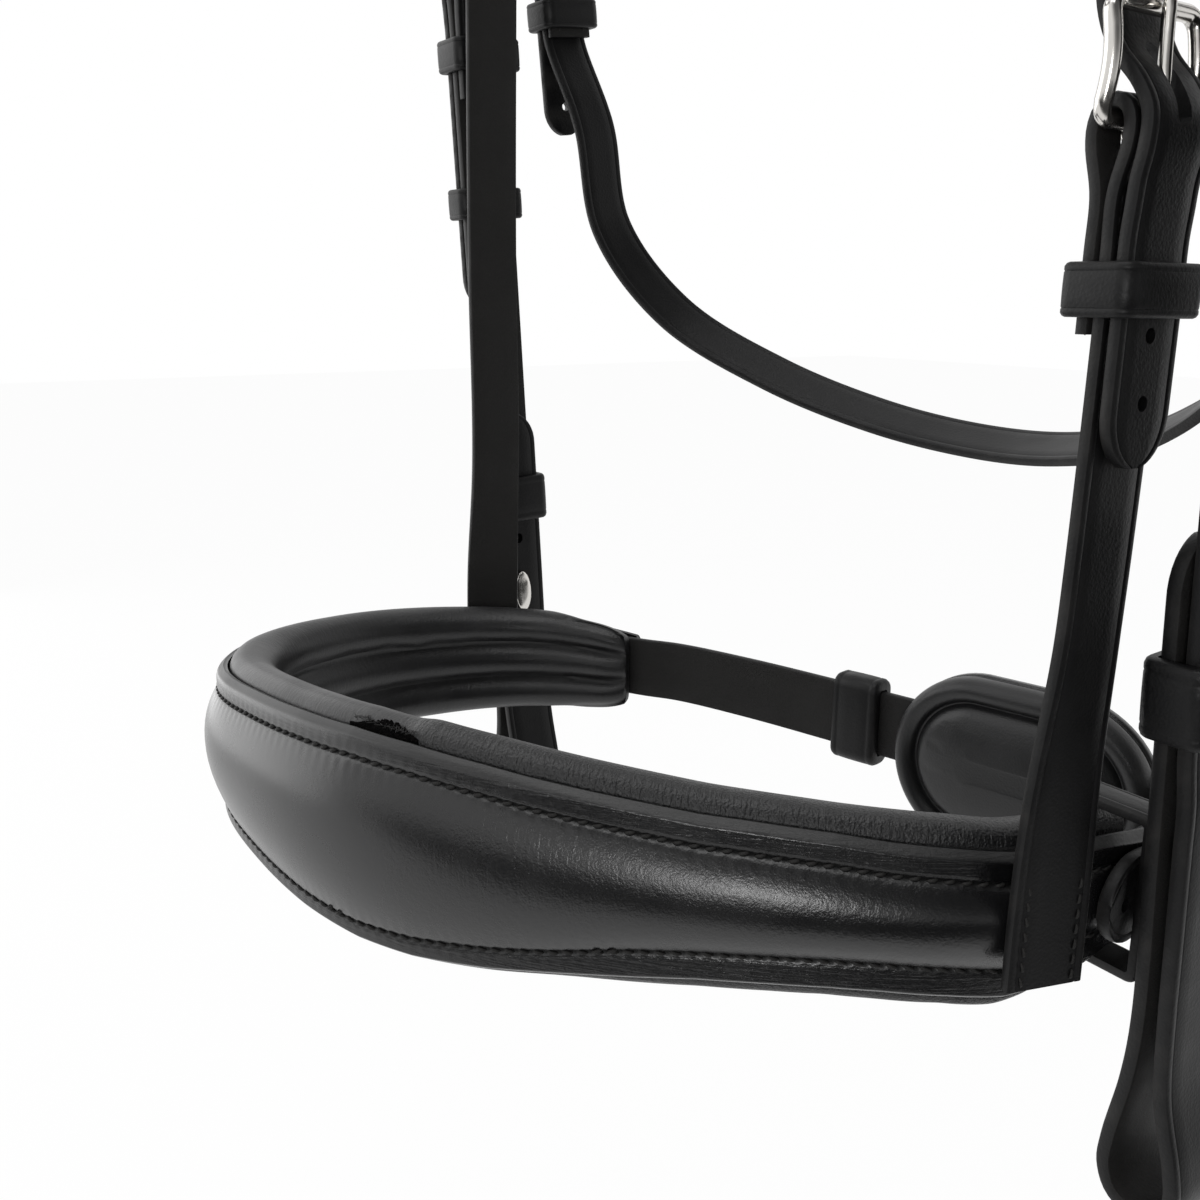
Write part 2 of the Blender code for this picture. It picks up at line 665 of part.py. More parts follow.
def cheekpiece(side, label):
    out = CHEEK_OUT
    fold = BAR_RADIUS + FOLD_GAP + CHEEK_THICK / 2
    layer = CHEEK_THICK / 2 + 0.00035
    inner = layer - CHEEK_THICK - BILLET_GAP
    face = layer + BIT_FACE_OUT
    r = BIT_LOOP_RADIUS
    z = CHEEK_BUCKLE_Z
    d = 0.7071
    turn = [(fold, -0.002), (fold * 0.92, fold * 0.38), (fold * d, fold * d)]
    spread = [(layer, -0.018), (layer + 0.0002, -0.012), (layer + 0.0007, -0.007)]
    points = [(out - layer, z - 0.034), (out - layer, z - 0.026)]
    points += [(out - x, z + up) for x, up in spread + turn]
    points += [(out, z + fold)]
    points += [(out + x, z + up) for x, up in (spread + turn)[::-1]]
    points += [(out + layer, height) for height in (z - 0.026, 0.120, 0.070, 0.044, 0.032)]
    points += [(out + face, height) for height in (0.024, 0.016, -0.006, -0.014)]
    points += [(out + layer + 0.0012, -0.031)]
    loop = out + (layer + inner) / 2
    half_turn = [(r * 0.93, 0.006), (r, 0.0), (r * d, -r * d)]
    points += [(loop + x, BIT_LOOP_Z + up) for x, up in half_turn]
    points += [(loop, BIT_LOOP_Z - r)]
    points += [(loop - x, BIT_LOOP_Z + up) for x, up in half_turn[::-1]]
    points += [(out + inner - 0.0012, -0.030)]
    points += [(out + inner, height) for height in (-0.018, 0.020, BILLET_TIP_Z)]
    route = bends([(side * x, cheek_y(height), height) for x, height in points], 0.0012)
    total = arcs(route)
    keep = by_bend(route, 0.030)
    # the outer leaf gets one flat face above the bit loop
    heights = route[:np.argmin(route[:, 2]), 2]
    face_start = total[np.argmin(np.abs(heights - BIT_FACE_TOP))]
    face_stop = total[np.argmin(np.abs(heights - BIT_FACE_FOOT))]
    keep = [arc for arc in keep if not face_start <= arc <= face_stop] + [face_start, face_stop]
    tangent = tangents(route)
    facing = np.stack([-side * tangent[:, 2], 0 * total, side * tangent[:, 0]], -1)
    obj = strap("cheekpiece_" + label, route, facing, CHEEK_WIDTH, CHEEK_THICK, LEATHER,
                tip_end=True, keep=keep)
    spot = Place((side * out, cheek_y(z), z), CHEEK_LEAN, (side, 0, 0))
    stud = Place((side * (out + inner), cheek_y(STUD_Z), STUD_Z), CHEEK_LEAN, (-side, 0, 0))
    tools = [(spot.matrix(-0.0004, 0.0), (0.0056, 0.0017, 0.0062))]
    tools += [(stud.matrix(0.0, -0.0002), (0.0026, 0.0019, 0.0017))]
    for k in range(2):
        tools.append((stud.matrix(0.018 + 0.016 * k, 0.0), (0.0016, 0.0014, 0.0017)))
    cut(obj, cutter("cheekpiece_" + label + "_cuts", tools))
    buckle("cheek_buckle_" + label, spot, CHEEK_WIDTH)

    # hook stud: base plate between the layers, neck through the billet, hook on its inner face
    hook_stud("hook_stud_" + label, stud, CHEEK_THICK / 2)

    half = CHEEK_WIDTH / 2
    low = layer - CHEEK_THICK / 2
    top = layer + CHEEK_THICK / 2
    tail_high = top + GAP + STRAP_THICK + 0.0002
    fixed = Place(spot.at(-0.0225, 0), spot.x, spot.z)
    keeper("cheek_keeper_" + label, fixed, half, -top, tail_high, 0.0085)
    loose = Place(spot.at(-0.062, 0), spot.x, spot.z)
    keeper("cheek_runner_" + label, loose, half, low, tail_high, 0.0085)
    held = Place((side * out, cheek_y(BILLET_KEEPER_Z), BILLET_KEEPER_Z), CHEEK_LEAN, (side, 0, 0))
    keeper("billet_keeper_" + label, held, half, inner - CHEEK_THICK / 2, top, 0.0135)
    return spot, top


def hook_stud(name, spot, face):
    """A base plate, a neck and a round-topped hook that lies along the billet, in one piece."""
    plate = 0.0034
    neck = 0.0014
    wide = 0.00275
    shift = 0.0012
    clear = face + GAP
    levels = [(-clear - 0.0007, plate, plate, 0.0), (-clear, plate, plate, 0.0),
              (-clear + 0.0001, neck, neck, 0.0), (clear, neck, neck, 0.0),
              (clear + 0.0001, wide, 0.0058, shift), (clear + 0.0011, wide, 0.0064, shift),
              (clear + 0.0017, wide * 0.7, 0.0050, shift)]
    rings = []
    for z, a, b, moved in levels:
        ring = []
        for k in range(14):
            ang = 2 * math.pi * k / 14
            ring.append(spot.at(moved + b * math.cos(ang), z, a * math.sin(ang)))
        rings.append(ring)
    return sweep(name, rings, STEEL)


cheek_near, cheek_top = cheekpiece(NEAR, "near")
cheek_off, _ = cheekpiece(OFF, "off")


# Headpiece: a broad strap over the poll, split at each end into a cheek and a throat tail
def arch(angle, out=0.0):
    """Point of the poll arch at an angle from the near side, moved outwards."""
    c, s = math.cos(angle), math.sin(angle)
    normal = unit(np.array([c / ARCH_OUT, s / ARCH_RISE]))
    return (ARCH_OUT * c + normal[0] * out, ARCH_Z + ARCH_RISE * s + normal[1] * out), normal


def arch_strap(name, start, stop, look, section):
    """A piece that lies over the poll, with the section for each angle of the arch."""
    rings = []
    for ang in np.linspace(math.radians(start), math.radians(stop), 25):
        (x, z), normal = arch(ang)
        facing = np.array([normal[0], 0.0, normal[1]])
        rings.append(place(np.array([x, CROWN_Y, z]), np.array([0.0, 1.0, 0.0]), facing, section(ang)))
    return sweep(name, rings, look)


def crown_section(ang):
    return flat_section(CROWN_WIDTH / 2, CROWN_THICK)


headpiece = arch_strap("headpiece", 17, 163, LEATHER, crown_section)


def tail(name, side, y_top, spot, reach, length, fold, rest, width):
    """A headpiece tail: down from the arch, through its buckle and on to its end."""
    points = []
    for ang in (26, 18, 10, 2):
        (x, z), _ = arch(math.radians(ang))
        points.append(np.array([side * x, y_top, z]))
    points += [spot.at(x, z) for x, z in billet_points(reach, (length, rest), fold)]
    route = bends(points, 0.0024)
    tangent = tangents(route)
    facing = np.stack([-side * tangent[:, 2], 0 * tangent[:, 0], side * tangent[:, 0]], -1)
    keep = by_bend(route, 0.022)
    obj = strap(name, route, facing, width, STRAP_THICK, None, tip_end=True, keep=keep)
    bridle.objects.unlink(obj)
    cutters.objects.link(obj)
    obj.hide_render = True
    obj.display_type = "WIRE"
    return obj


throat_spots = {}
for side, label, cheek_spot in ((NEAR, "near", cheek_near), (OFF, "off", cheek_off)):
    cheek_fold = BAR_RADIUS + FOLD_GAP + CHEEK_THICK
    cheek_rest = cheek_top + GAP + STRAP_THICK / 2 + 0.0001
    cheek_tail = tail("headpiece_cheek_tail_" + label, side, CHEEK_TAIL_Y, cheek_spot, 0.020,
                      CHEEK_TAIL, cheek_fold, cheek_rest, CHEEK_WIDTH)
    throat_at = (side * THROAT_BUCKLE_OUT, THROAT_BUCKLE_Y, BROWBAND_Z - THROAT_BUCKLE_DROP)
    throat_spot = Place(throat_at, (0, -0.10, 1), (side, 0, 0))
    throat_spots[side] = throat_spot
    throat_fold = BAR_RADIUS + FOLD_GAP + STRAP_THICK
    throat_tail = tail("headpiece_throat_tail_" + label, side, THROAT_TAIL_Y, throat_spot, 0.012,
                       THROAT_TAIL, throat_fold, THROAT_REST, THROAT_WIDTH)
    tools = [tongue_slot(cheek_spot), tongue_slot(throat_spot)]
    tools += [(cheek_spot.matrix(-d, cheek_rest), HOLE_RADIUS) for d in (0.030, 0.045, 0.076)]
    tools += [(throat_spot.matrix(-d, THROAT_REST), FINE_HOLE_RADIUS) for d in (0.034, 0.044)]
    cut(headpiece, cheek_tail, "UNION")
    cut(headpiece, throat_tail, "UNION")
    cut(headpiece, cutter("headpiece_holes_" + label, tools))


def crown_padding_section(ang):
    """Soft pad under the headpiece: a shallow centre channel, rounded edges and tapered ends."""
    left = min(ang - math.radians(27), math.radians(153) - ang) / math.radians(10)
    end = math.sqrt(max(0.0, 1 - max(0.0, 1 - left) ** 2))
    half = (CROWN_WIDTH / 2 + 0.004) * (0.75 + 0.25 * end)
    top = -CROWN_THICK / 2 - GAP
    thick = CROWN_PADDING_THICK * (0.35 + 0.65 * end)
    shape = [(0.88, 0.0), (0.98, -0.18), (1.0, -0.45), (0.95, -0.78), (0.82, -1.0), (0.52, -1.0)]
    shape += [(0.36, -0.92)]
    shape += [(-v, m) for v, m in shape[::-1]]
    return [(half * v, top + thick * m) for v, m in shape]


arch_strap("headpiece_padding", 27.3, 152.7, SOFT_LEATHER, crown_padding_section)


# Throatlash: a strap with a buckle at each end that hangs in a U behind the cheeks
def throatlash():
    fold = BAR_RADIUS + FOLD_GAP + STRAP_THICK / 2
    layer = STRAP_THICK / 2 + GAP

    def fold_points(spot):
        shape = [(-0.026, -layer), (-0.016, -layer), (-0.010, -layer), (-0.003, -fold), (0.0, -fold),
                 (fold * 0.7071, -fold * 0.7071), (fold, 0.0), (fold * 0.7071, fold * 0.7071), (0.0, fold),
                 (-0.003, fold), (-0.010, layer), (-0.016, layer), (-0.026, layer)]
        return [spot.at(x, z) for x, z in shape]

    hang = [(101.5, 47.5, 150), (101.5, 54, 122), (91.5, 67, 94), (63, 85, 75), (31, 97.5, 66.5)]
    hang += [(0, 102, 64)]
    off_half = fold_points(throat_spots[OFF]) + [np.array([-x, y, z]) / 1000 for x, y, z in hang]
    near_half = fold_points(throat_spots[NEAR]) + [np.array([x, y, z]) / 1000 for x, y, z in hang[:-1]]
    route = bends(off_half + near_half[::-1], 0.0012)
    tangent = tangents(route)
    width_dir = np.array([0.0, 0.88, 0.47])
    side_dir = np.array([0.0, 0.995, 0.10])
    facing = []
    for i in range(len(route)):
        blend = float(np.clip((0.155 - route[i][2]) / 0.060, 0, 1))
        blend = blend * blend * (3 - 2 * blend)
        across = unit(side_dir * (1 - blend) + width_dir * blend)
        facing.append(np.cross(tangent[i], across))
    keep = by_bend(route, 0.016)
    obj = strap("throatlash", route, np.array(facing), THROAT_WIDTH, STRAP_THICK, LEATHER, keep=keep)
    slots = [(spot.matrix(-0.0004, 0.0), (0.0052, 0.0017, 0.0056)) for spot in throat_spots.values()]
    cut(obj, cutter("throatlash_slots", slots))
    low = -layer - STRAP_THICK / 2
    high = THROAT_REST + STRAP_THICK / 2
    for side, label in ((NEAR, "near"), (OFF, "off")):
        spot = throat_spots[side]
        buckle("throatlash_buckle_" + label, spot, THROAT_WIDTH)
        held = Place(spot.at(-0.020, 0), spot.x, spot.z)
        keeper("throatlash_keeper_" + label, held, THROAT_WIDTH / 2, low, high, 0.0075)


throatlash()


# Noseband hanger: off side up over the poll and down to a buckle on the near side
HANGER_OUT = BAND_THICK + BAND_RAISE + GAP + HANGER_THICK / 2
HANGER_BUCKLE_Z = 0.128


def hanger_foot(side):
    p, n, _ = guide_at(side * HANGER_ARC[side])
    return p + n * HANGER_OUT, n


def hanger_facing(route, side, normal):
    """Facing directions: along the noseband's normal at the foot, then square to the head."""
    facing = []
    for point, ahead in zip(route, tangents(route)):
        flat = np.array([-ahead[2], 0, ahead[0]])
        blend = float(np.clip(point[2] / 0.055, 0, 1))
        blend = blend * blend * (3 - 2 * blend)
        facing.append(flat * blend + normal * (1 - blend) if point[0] * side > 0 else flat)
    return np.array(facing)


def hanger():
    foot, normal = hanger_foot(OFF)
    arch_in = -(CROWN_THICK / 2 + GAP + CROWN_PADDING_THICK + GAP + HANGER_THICK / 2)
    points = [foot + np.array([0, 0, -0.010]), foot, foot + np.array([-0.0003, 0.0004, 0.020])]
    points += [np.array([-0.1015, 0.0136, 0.060]), np.array([-0.1025, 0.0139, 0.110])]
    points += [np.array([-0.1015, 0.0140, 0.165]), np.array([-0.0995, 0.0140, 0.215])]
    for ang in range(176, 0, -16):
        (x, z), _ = arch(math.radians(ang), arch_in)
        y = 0.014 + (HEADSTRAP_Y - 0.014) * math.sin(math.radians(ang))
        points.append(np.array([x, y, z]))
    points += [np.array([0.0995, 0.0120, 0.215])]
    near = Place((0.1010, 0.0100, HANGER_BUCKLE_Z), (0, 0.012, 1), (1, 0, 0))
    fold = BAR_RADIUS + FOLD_GAP + HANGER_THICK
    rest = HANGER_THICK * 1.5 + 0.0006 + GAP + STRAP_THICK / 2 - HANGER_THICK / 2
    points += [near.at(x, z) for x, z in billet_points(0.030, (0.050, rest), fold)]
    route = bends(points, 0.0024)
    facing = hanger_facing(route, OFF, normal)
    obj = strap("noseband_headstrap", route, facing, HANGER_WIDTH, HANGER_THICK, LEATHER,
                tip_end=True, keep=by_bend(route, 0.020))
    tools = [tongue_slot(near)]
    tools += [(near.matrix(-d, rest), FINE_HOLE_RADIUS) for d in (0.030, 0.040)]
    cut(obj, cutter("noseband_headstrap_holes", tools))

    # short near hanger, folded round the buckle's heel bar
    foot, normal = hanger_foot(NEAR)
    fold = BAR_RADIUS + FOLD_GAP + HANGER_THICK / 2
    layer = HANGER_THICK / 2 + GAP
    shape = [(-0.030, -layer), (-0.018, -layer), (-0.010, -layer), (-0.003, -fold), (0.0, -fold),
             (fold * 0.7071, -fold * 0.7071), (fold, 0.0), (fold * 0.7071, fold * 0.7071),
             (0.0, fold), (-0.003, fold), (-0.010, layer), (-0.018, layer), (-0.032, layer)]
    points = [near.at(x, z) for x, z in shape]
    points += [foot * 0.35 + near.at(-0.032, layer) * 0.65 + np.array([0, 0, -0.012]),
               foot + np.array([0.0004, 0.0, 0.026]), foot, foot + np.array([0, 0, -0.010])]
    route = bends(points, 0.0012)
    facing = hanger_facing(route, NEAR, normal)
    obj = strap("noseband_hanger_near", route, facing, HANGER_WIDTH, HANGER_THICK, LEATHER,
                keep=by_bend(route, 0.018))
    cut(obj, cutter("noseband_hanger_near_slot", [(near.matrix(-0.0004, 0.0), (0.0052, 0.0017, 0.0054))]))
    buckle("hanger_buckle", near, HANGER_WIDTH)
    low = -layer - HANGER_THICK / 2
    held = Place(near.at(-0.0235, 0), near.x, near.z)
    keeper("hanger_keeper", held, HANGER_WIDTH / 2, low, rest + HANGER_THICK / 2, 0.0080)


hanger()


# Browband: leather with a soft backing, and a loop at each end round the cheek straps
def browband():
    points = [(-104.5, -4), (-103.6, -13), (-94, -36), (-72, -60), (-38, -76), (0, -81)]
    points += [(-x, y) for x, y in points[-2::-1]]
    route = bends([(x / 1000, y / 1000, BROWBAND_Z) for x, y in points], 0.009)
    tangent = tangents(route)
    facing = np.stack([tangent[:, 1], -tangent[:, 0], 0 * tangent[:, 0]], -1)
    strap("browband_leather", route, facing, BROWBAND_HEIGHT, BROWBAND_THICK, SMOOTH_LEATHER)
    shape = [(0.88, 0.0), (1.0, -0.35), (0.92, -0.85), (0.60, -1.0), (0.0, -0.86)]
    shape += [(-v, m) for v, m in shape[-2::-1]]
    rings = []
    for i in range(1, len(route) - 1):
        end = min(1.0, 0.35 + 0.35 * min(i - 1, len(route) - 2 - i))
        half = (BROWBAND_HEIGHT / 2 + 0.0028) * (0.8 + 0.2 * end)
        thick = BROWBAND_PADDING_THICK * (0.4 + 0.6 * end)
        section = [(half * v, -BROWBAND_THICK / 2 - GAP + thick * m) for v, m in shape]
        rings.append(place(route[i], np.array([0, 0, 1.0]), facing[i], section))
    sweep("browband_padding", rings, SOFT_LEATHER)
    for side, label in ((NEAR, "near"), (OFF, "off")):
        spot = Place((side * BROWBAND_LOOP_OUT, BROWBAND_LOOP_Y, BROWBAND_Z), (0, 0, 1), (side, 0, 0))
        keeper("browband_loop_" + label, spot, 0.0235, -0.0094, 0.0078, BROWBAND_HEIGHT, thick=0.0024)


browband()


# The whole bridle hangs from the poll: the origin is the lowest point of the strap under the headpiece
poll = bpy.data.objects.new("poll_rest", None)
hang_depth = CROWN_THICK / 2 + GAP + CROWN_PADDING_THICK + GAP + HANGER_THICK
poll.location = (0.0, -HEADSTRAP_Y, -(ARCH_Z + ARCH_RISE - hang_depth))
bridle.objects.link(poll)
for obj in list(bridle.objects) + list(cutters.objects):
    if obj is not poll:
        obj.parent = poll
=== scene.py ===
import json
import math

import bmesh
import bpy
import numpy as np
from mathutils import Euler, Matrix, Vector

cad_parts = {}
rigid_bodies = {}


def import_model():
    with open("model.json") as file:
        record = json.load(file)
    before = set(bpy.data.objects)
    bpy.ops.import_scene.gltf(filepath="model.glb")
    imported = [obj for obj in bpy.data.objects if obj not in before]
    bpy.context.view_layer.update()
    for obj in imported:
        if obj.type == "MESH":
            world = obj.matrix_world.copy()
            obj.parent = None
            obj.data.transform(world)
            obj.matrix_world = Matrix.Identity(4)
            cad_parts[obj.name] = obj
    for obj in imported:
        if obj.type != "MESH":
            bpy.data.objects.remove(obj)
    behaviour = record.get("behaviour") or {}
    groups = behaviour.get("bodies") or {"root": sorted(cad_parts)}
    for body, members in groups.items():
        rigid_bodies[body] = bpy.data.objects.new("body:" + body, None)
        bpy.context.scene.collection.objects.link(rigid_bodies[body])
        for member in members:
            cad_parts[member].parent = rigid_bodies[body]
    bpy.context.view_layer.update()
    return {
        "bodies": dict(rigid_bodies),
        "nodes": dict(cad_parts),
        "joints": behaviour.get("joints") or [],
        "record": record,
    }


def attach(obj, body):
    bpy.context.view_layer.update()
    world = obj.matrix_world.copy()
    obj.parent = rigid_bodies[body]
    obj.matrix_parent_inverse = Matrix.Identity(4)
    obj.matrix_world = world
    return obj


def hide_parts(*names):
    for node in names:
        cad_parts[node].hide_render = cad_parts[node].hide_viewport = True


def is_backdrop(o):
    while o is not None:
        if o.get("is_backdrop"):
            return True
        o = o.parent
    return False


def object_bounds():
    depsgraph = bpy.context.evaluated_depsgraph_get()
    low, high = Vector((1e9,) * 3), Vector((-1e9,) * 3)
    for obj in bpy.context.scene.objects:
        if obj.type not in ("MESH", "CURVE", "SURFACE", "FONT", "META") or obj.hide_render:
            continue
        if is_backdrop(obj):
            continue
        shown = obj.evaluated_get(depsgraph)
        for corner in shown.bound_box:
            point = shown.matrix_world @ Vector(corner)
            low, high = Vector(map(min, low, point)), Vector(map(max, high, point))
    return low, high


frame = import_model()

# Camera: it stands 0.3 m from the noseband, at the near front and a little above it. Its place
# and its turn were fitted to the noseband's edges in the photograph.
CAMERA_PLACE = (0.21773, -0.18450, -0.24136)
CAMERA_TURN = 56.28
CAMERA_DIP = 14.05
CAMERA_ROLL = 0.33
FILM_WIDTH = 36.0
FOCAL_LENGTH = 37.25
NEAREST_SEEN = 0.01


def placed(name, data):
    """A new object in the scene."""
    obj = bpy.data.objects.new(name, data)
    bpy.context.scene.collection.objects.link(obj)
    return obj


lens = bpy.data.cameras.new("camera")
lens.sensor_width = FILM_WIDTH
lens.lens = FOCAL_LENGTH
lens.clip_start = NEAREST_SEEN
camera = placed("camera", lens)
camera.location = CAMERA_PLACE
aim = Euler((math.radians(90 - CAMERA_DIP), 0, math.radians(CAMERA_TURN))).to_matrix()
camera.rotation_euler = (aim @ Matrix.Rotation(math.radians(CAMERA_ROLL), 3, "Z")).to_euler()
bpy.context.scene.camera = camera
bpy.context.scene.view_settings.view_transform = "Standard"


# Studio: a white floor under the hanging bridle and a white room round it, with soft lamps.
# In reflections the white sheet ends beyond the front lamp, and the room above the camera is
# dark, which gives black leather its dark parts.
FLOOR_LEVEL = -0.60
FLOOR_REACH = 5.0
FLOOR_WHITE = 0.86
FLOOR_ROUGHNESS = 0.9
SHADOW_LEFT = 0.05
ROOM_LIGHT = 0.55
DARK_SIDE = (0.704, -0.062, 0.707)
DARK_FROM = 0.45
DARK_TO = 0.98
DARK_LEVEL = 0.10
SHEET_AWAY = (0.906, -0.423, 0.0)
SHEET_FROM = 0.26
SHEET_TO = 0.47
SHEET_DARK = 0.05


class Shade:
    """A value that changes over a surface: arithmetic on it adds Math nodes, and node() any other."""

    def __init__(self, tree, socket=None):
        self.tree = tree
        self.socket = socket

    def node(self, kind, settings=None, values=None, out=0):
        made = self.tree.nodes.new("ShaderNode" + kind)
        for name, value in (settings or {}).items():
            setattr(made, name, value)
        for name, value in (values or {}).items():
            if isinstance(value, Shade):
                self.tree.links.new(value.socket, made.inputs[name])
            else:
                made.inputs[name].default_value = value
        return Shade(self.tree, made.outputs[out])

    def math(self, operation, first, second):
        return self.node("Math", {"operation": operation}, {0: first, 1: second})

    def __add__(self, other):
        return self.math("ADD", self, other)

    def __sub__(self, other):
        return self.math("SUBTRACT", self, other)

    def __rsub__(self, other):
        return self.math("SUBTRACT", other, self)

    def __mul__(self, other):
        return self.math("MULTIPLY", self, other)

    __radd__ = __add__
    __rmul__ = __mul__

    def eased(self, low, high):
        """0 up to low, 1 from high on, and a smooth step between them."""
        return self.node("MapRange", {"interpolation_type": "SMOOTHSTEP"},
                         {"Value": self, "From Min": low, "From Max": high})

    def feed(self, shader, name):
        self.tree.links.new(self.socket, shader.inputs[name])


def seen_by(shade, kind):
    """1 for the camera's, the mirrored or the see-through rays, by their kind, and 0 for others."""
    return shade.node("LightPath", out="Is " + kind + " Ray")


def pointing(shade, place, way):
    """How far a place's direction points one way: 1 towards it and -1 away from it."""
    return shade.node("VectorMath", {"operation": "DOT_PRODUCT"},
                      {0: shade.node("TexCoord", out=place), 1: Vector(way).normalized()}, out="Value")


world = bpy.data.worlds.new("studio")
bpy.context.scene.world = world
world.use_nodes = True
room = Shade(world.node_tree)
backdrop = world.node_tree.nodes["Background"]
backdrop.inputs["Color"].default_value = (1.0, 1.0, 1.0, 1.0)
plain = seen_by(room, "Camera") + seen_by(room, "Transmission")
mirrored = seen_by(room, "Glossy")
glow = 1 - pointing(room, "Generated", DARK_SIDE).eased(DARK_FROM, DARK_TO) * (1 - DARK_LEVEL)
(plain + mirrored * glow + (1 - plain - mirrored) * ROOM_LIGHT).feed(backdrop, "Strength")

floor_mesh = bpy.data.meshes.new("floor")
floor_mesh.from_pydata([(x * FLOOR_REACH, y * FLOOR_REACH, FLOOR_LEVEL) for x, y in
                        ((-1, -1), (1, -1), (1, 1), (-1, 1))], [], [(0, 1, 2, 3)])
floor = placed("floor", floor_mesh)
floor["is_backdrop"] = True
paint = bpy.data.materials.new("floor_white")
paint.use_nodes = True
floor_mesh.materials.append(paint)
ground = Shade(paint.node_tree)
matt = paint.node_tree.nodes["Principled BSDF"]
matt.inputs["Base Color"].default_value = (FLOOR_WHITE, FLOOR_WHITE, FLOOR_WHITE, 1.0)
matt.inputs["Roughness"].default_value = FLOOR_ROUGHNESS
looked_at = seen_by(ground, "Camera") + seen_by(ground, "Transmission")
mirrored = seen_by(ground, "Glossy")
sheet_end = pointing(ground, "Object", SHEET_AWAY).eased(SHEET_FROM, SHEET_TO)
white = 1 - mirrored * sheet_end * (1 - SHEET_DARK)
whitened = ground.node("MixShader", values={0: looked_at * (1 - SHADOW_LEFT) + mirrored,
                                            1: Shade(paint.node_tree, matt.outputs[0]),
                                            2: ground.node("Emission", values={"Color": white})})
whitened.feed(paint.node_tree.nodes["Material Output"], "Surface")


def lamp(name, place, aim, width, height, power):
    """A rectangular soft lamp at place that faces aim."""
    light = bpy.data.lights.new(name, "AREA")
    light.shape = "RECTANGLE"
    light.size = width
    light.size_y = height
    light.energy = power
    obj = placed(name, light)
    obj.location = place
    obj.rotation_euler = (Vector(aim) - Vector(place)).to_track_quat("-Z", "Y").to_euler()


NOSEBAND_SPOT = (0.0, -0.06, -0.345)
lamp("lamp_front", (0.67, -0.72, -0.22), NOSEBAND_SPOT, 0.15, 0.24, 2.0)
lamp("lamp_above", (0.10, -0.30, 0.95), NOSEBAND_SPOT, 0.90, 0.70, 7.0)
lamp("lamp_left", (-0.95, -0.55, -0.05), NOSEBAND_SPOT, 1.40, 1.40, 7.0)


# Noseband filler: a strip of felt that lifts the front leather between its two rows of stitches.
# It is cut a little smaller than the leather's hollow and glued in before the sewing.
HANG = np.array([0.0, 0.022, 0.3456])
UP = np.array([0.0, 0.0, 1.0])
FILLER_END = 0.160
BAND_RAISE = 0.0036
STITCH_MARGIN = 0.0052
GAP = 0.0003
FILLER_SLACK = 0.0006
FILLER_CUT = 0.94
GUIDE = [(-38, -82), (-10, -79), (15, -70.5), (40, -54), (62, -35), (81.5, -15), (92.4, 1),
         (96.5, 15), (97.7, 30), (98, 45), (98, 60), (96.4, 67.2), (92.1, 71.6), (86, 73.1),
         (80, 72.0), (64, 68.6), (43, 64.2), (24, 60.2), (5, 56), (-34, 46), (-61, 35),
         (-84.5, 18), (-98, -6), (-102, -27), (-98, -49), (-84, -69.5), (-62, -80.5)]
GUIDE_STEP = 0.0008
NOSE_SHIFT = 0.020
RAISE_EASE = 0.016
BAND_HEIGHTS = [(-0.196, 0.0086), (-0.185, 0.0098), (-0.170, 0.0112), (-0.134, 0.0128),
                (-0.100, 0.0141), (-0.080, 0.0152), (-0.060, 0.0164), (-0.044, 0.0175),
                (-0.027, 0.0188), (-0.010, 0.0202), (0.005, 0.0213), (0.022, 0.0220),
                (0.036, 0.0216), (0.052, 0.0201), (0.070, 0.0178), (0.092, 0.0152),
                (0.115, 0.0137), (0.143, 0.0124), (0.162, 0.0113), (0.178, 0.0094)]


def unit(v):
    return v / np.linalg.norm(v, axis=-1, keepdims=True)


def arcs(route):
    return np.concatenate([[0.0], np.cumsum(np.linalg.norm(np.diff(route, axis=0), axis=1))])


def evenly(fine, spacing):
    """A finely sampled curve, sampled again at an even spacing."""
    arc = arcs(fine)
    s = np.linspace(0, arc[-1], max(3, int(round(arc[-1] / spacing)) + 1))
    return np.stack([np.interp(s, arc, fine[:, k]) for k in range(fine.shape[1])], -1)


def smooth_loop(points, spacing):
    """Closed cubic spline through the points, sampled at an even spacing."""
    p = np.array(points, float)
    p = np.vstack([p, p[:1]])
    n = len(p)
    h = np.linalg.norm(np.diff(p, axis=0), axis=1)
    slope = np.diff(p, axis=0) / h[:, None]
    a = np.zeros((n, n))
    b = np.zeros((n, p.shape[1]))
    for i in range(1, n - 1):
        a[i, i - 1:i + 2] = h[i - 1], 2 * (h[i - 1] + h[i]), h[i]
        b[i] = 6 * (slope[i] - slope[i - 1])
    a[0, 0], a[0, -1] = 1, -1
    a[-1, 0], a[-1, 1] = 2 * h[0], h[0]
    a[-1, -1], a[-1, -2] = 2 * h[-1], h[-1]
    b[-1] = 6 * (slope[0] - slope[-1])
    m = np.linalg.solve(a, b)
    fine = []
    for i in range(n - 1):
        for x in np.linspace(0, h[i], 24, endpoint=False):
            y = h[i] - x
            bend = (m[i] * y ** 3 + m[i + 1] * x ** 3) / (6 * h[i])
            left = p[i] / h[i] - m[i] * h[i] / 6
            right = p[i + 1] / h[i] - m[i + 1] * h[i] / 6
            fine.append(bend + left * y + right * x)
    fine.append(p[-1])
    return evenly(np.array(fine), spacing)


guide = smooth_loop([(x / 1000, y / 1000) for x, y in GUIDE], GUIDE_STEP)
guide_arcs = arcs(guide)
GUIDE_LENGTH = guide_arcs[-1]


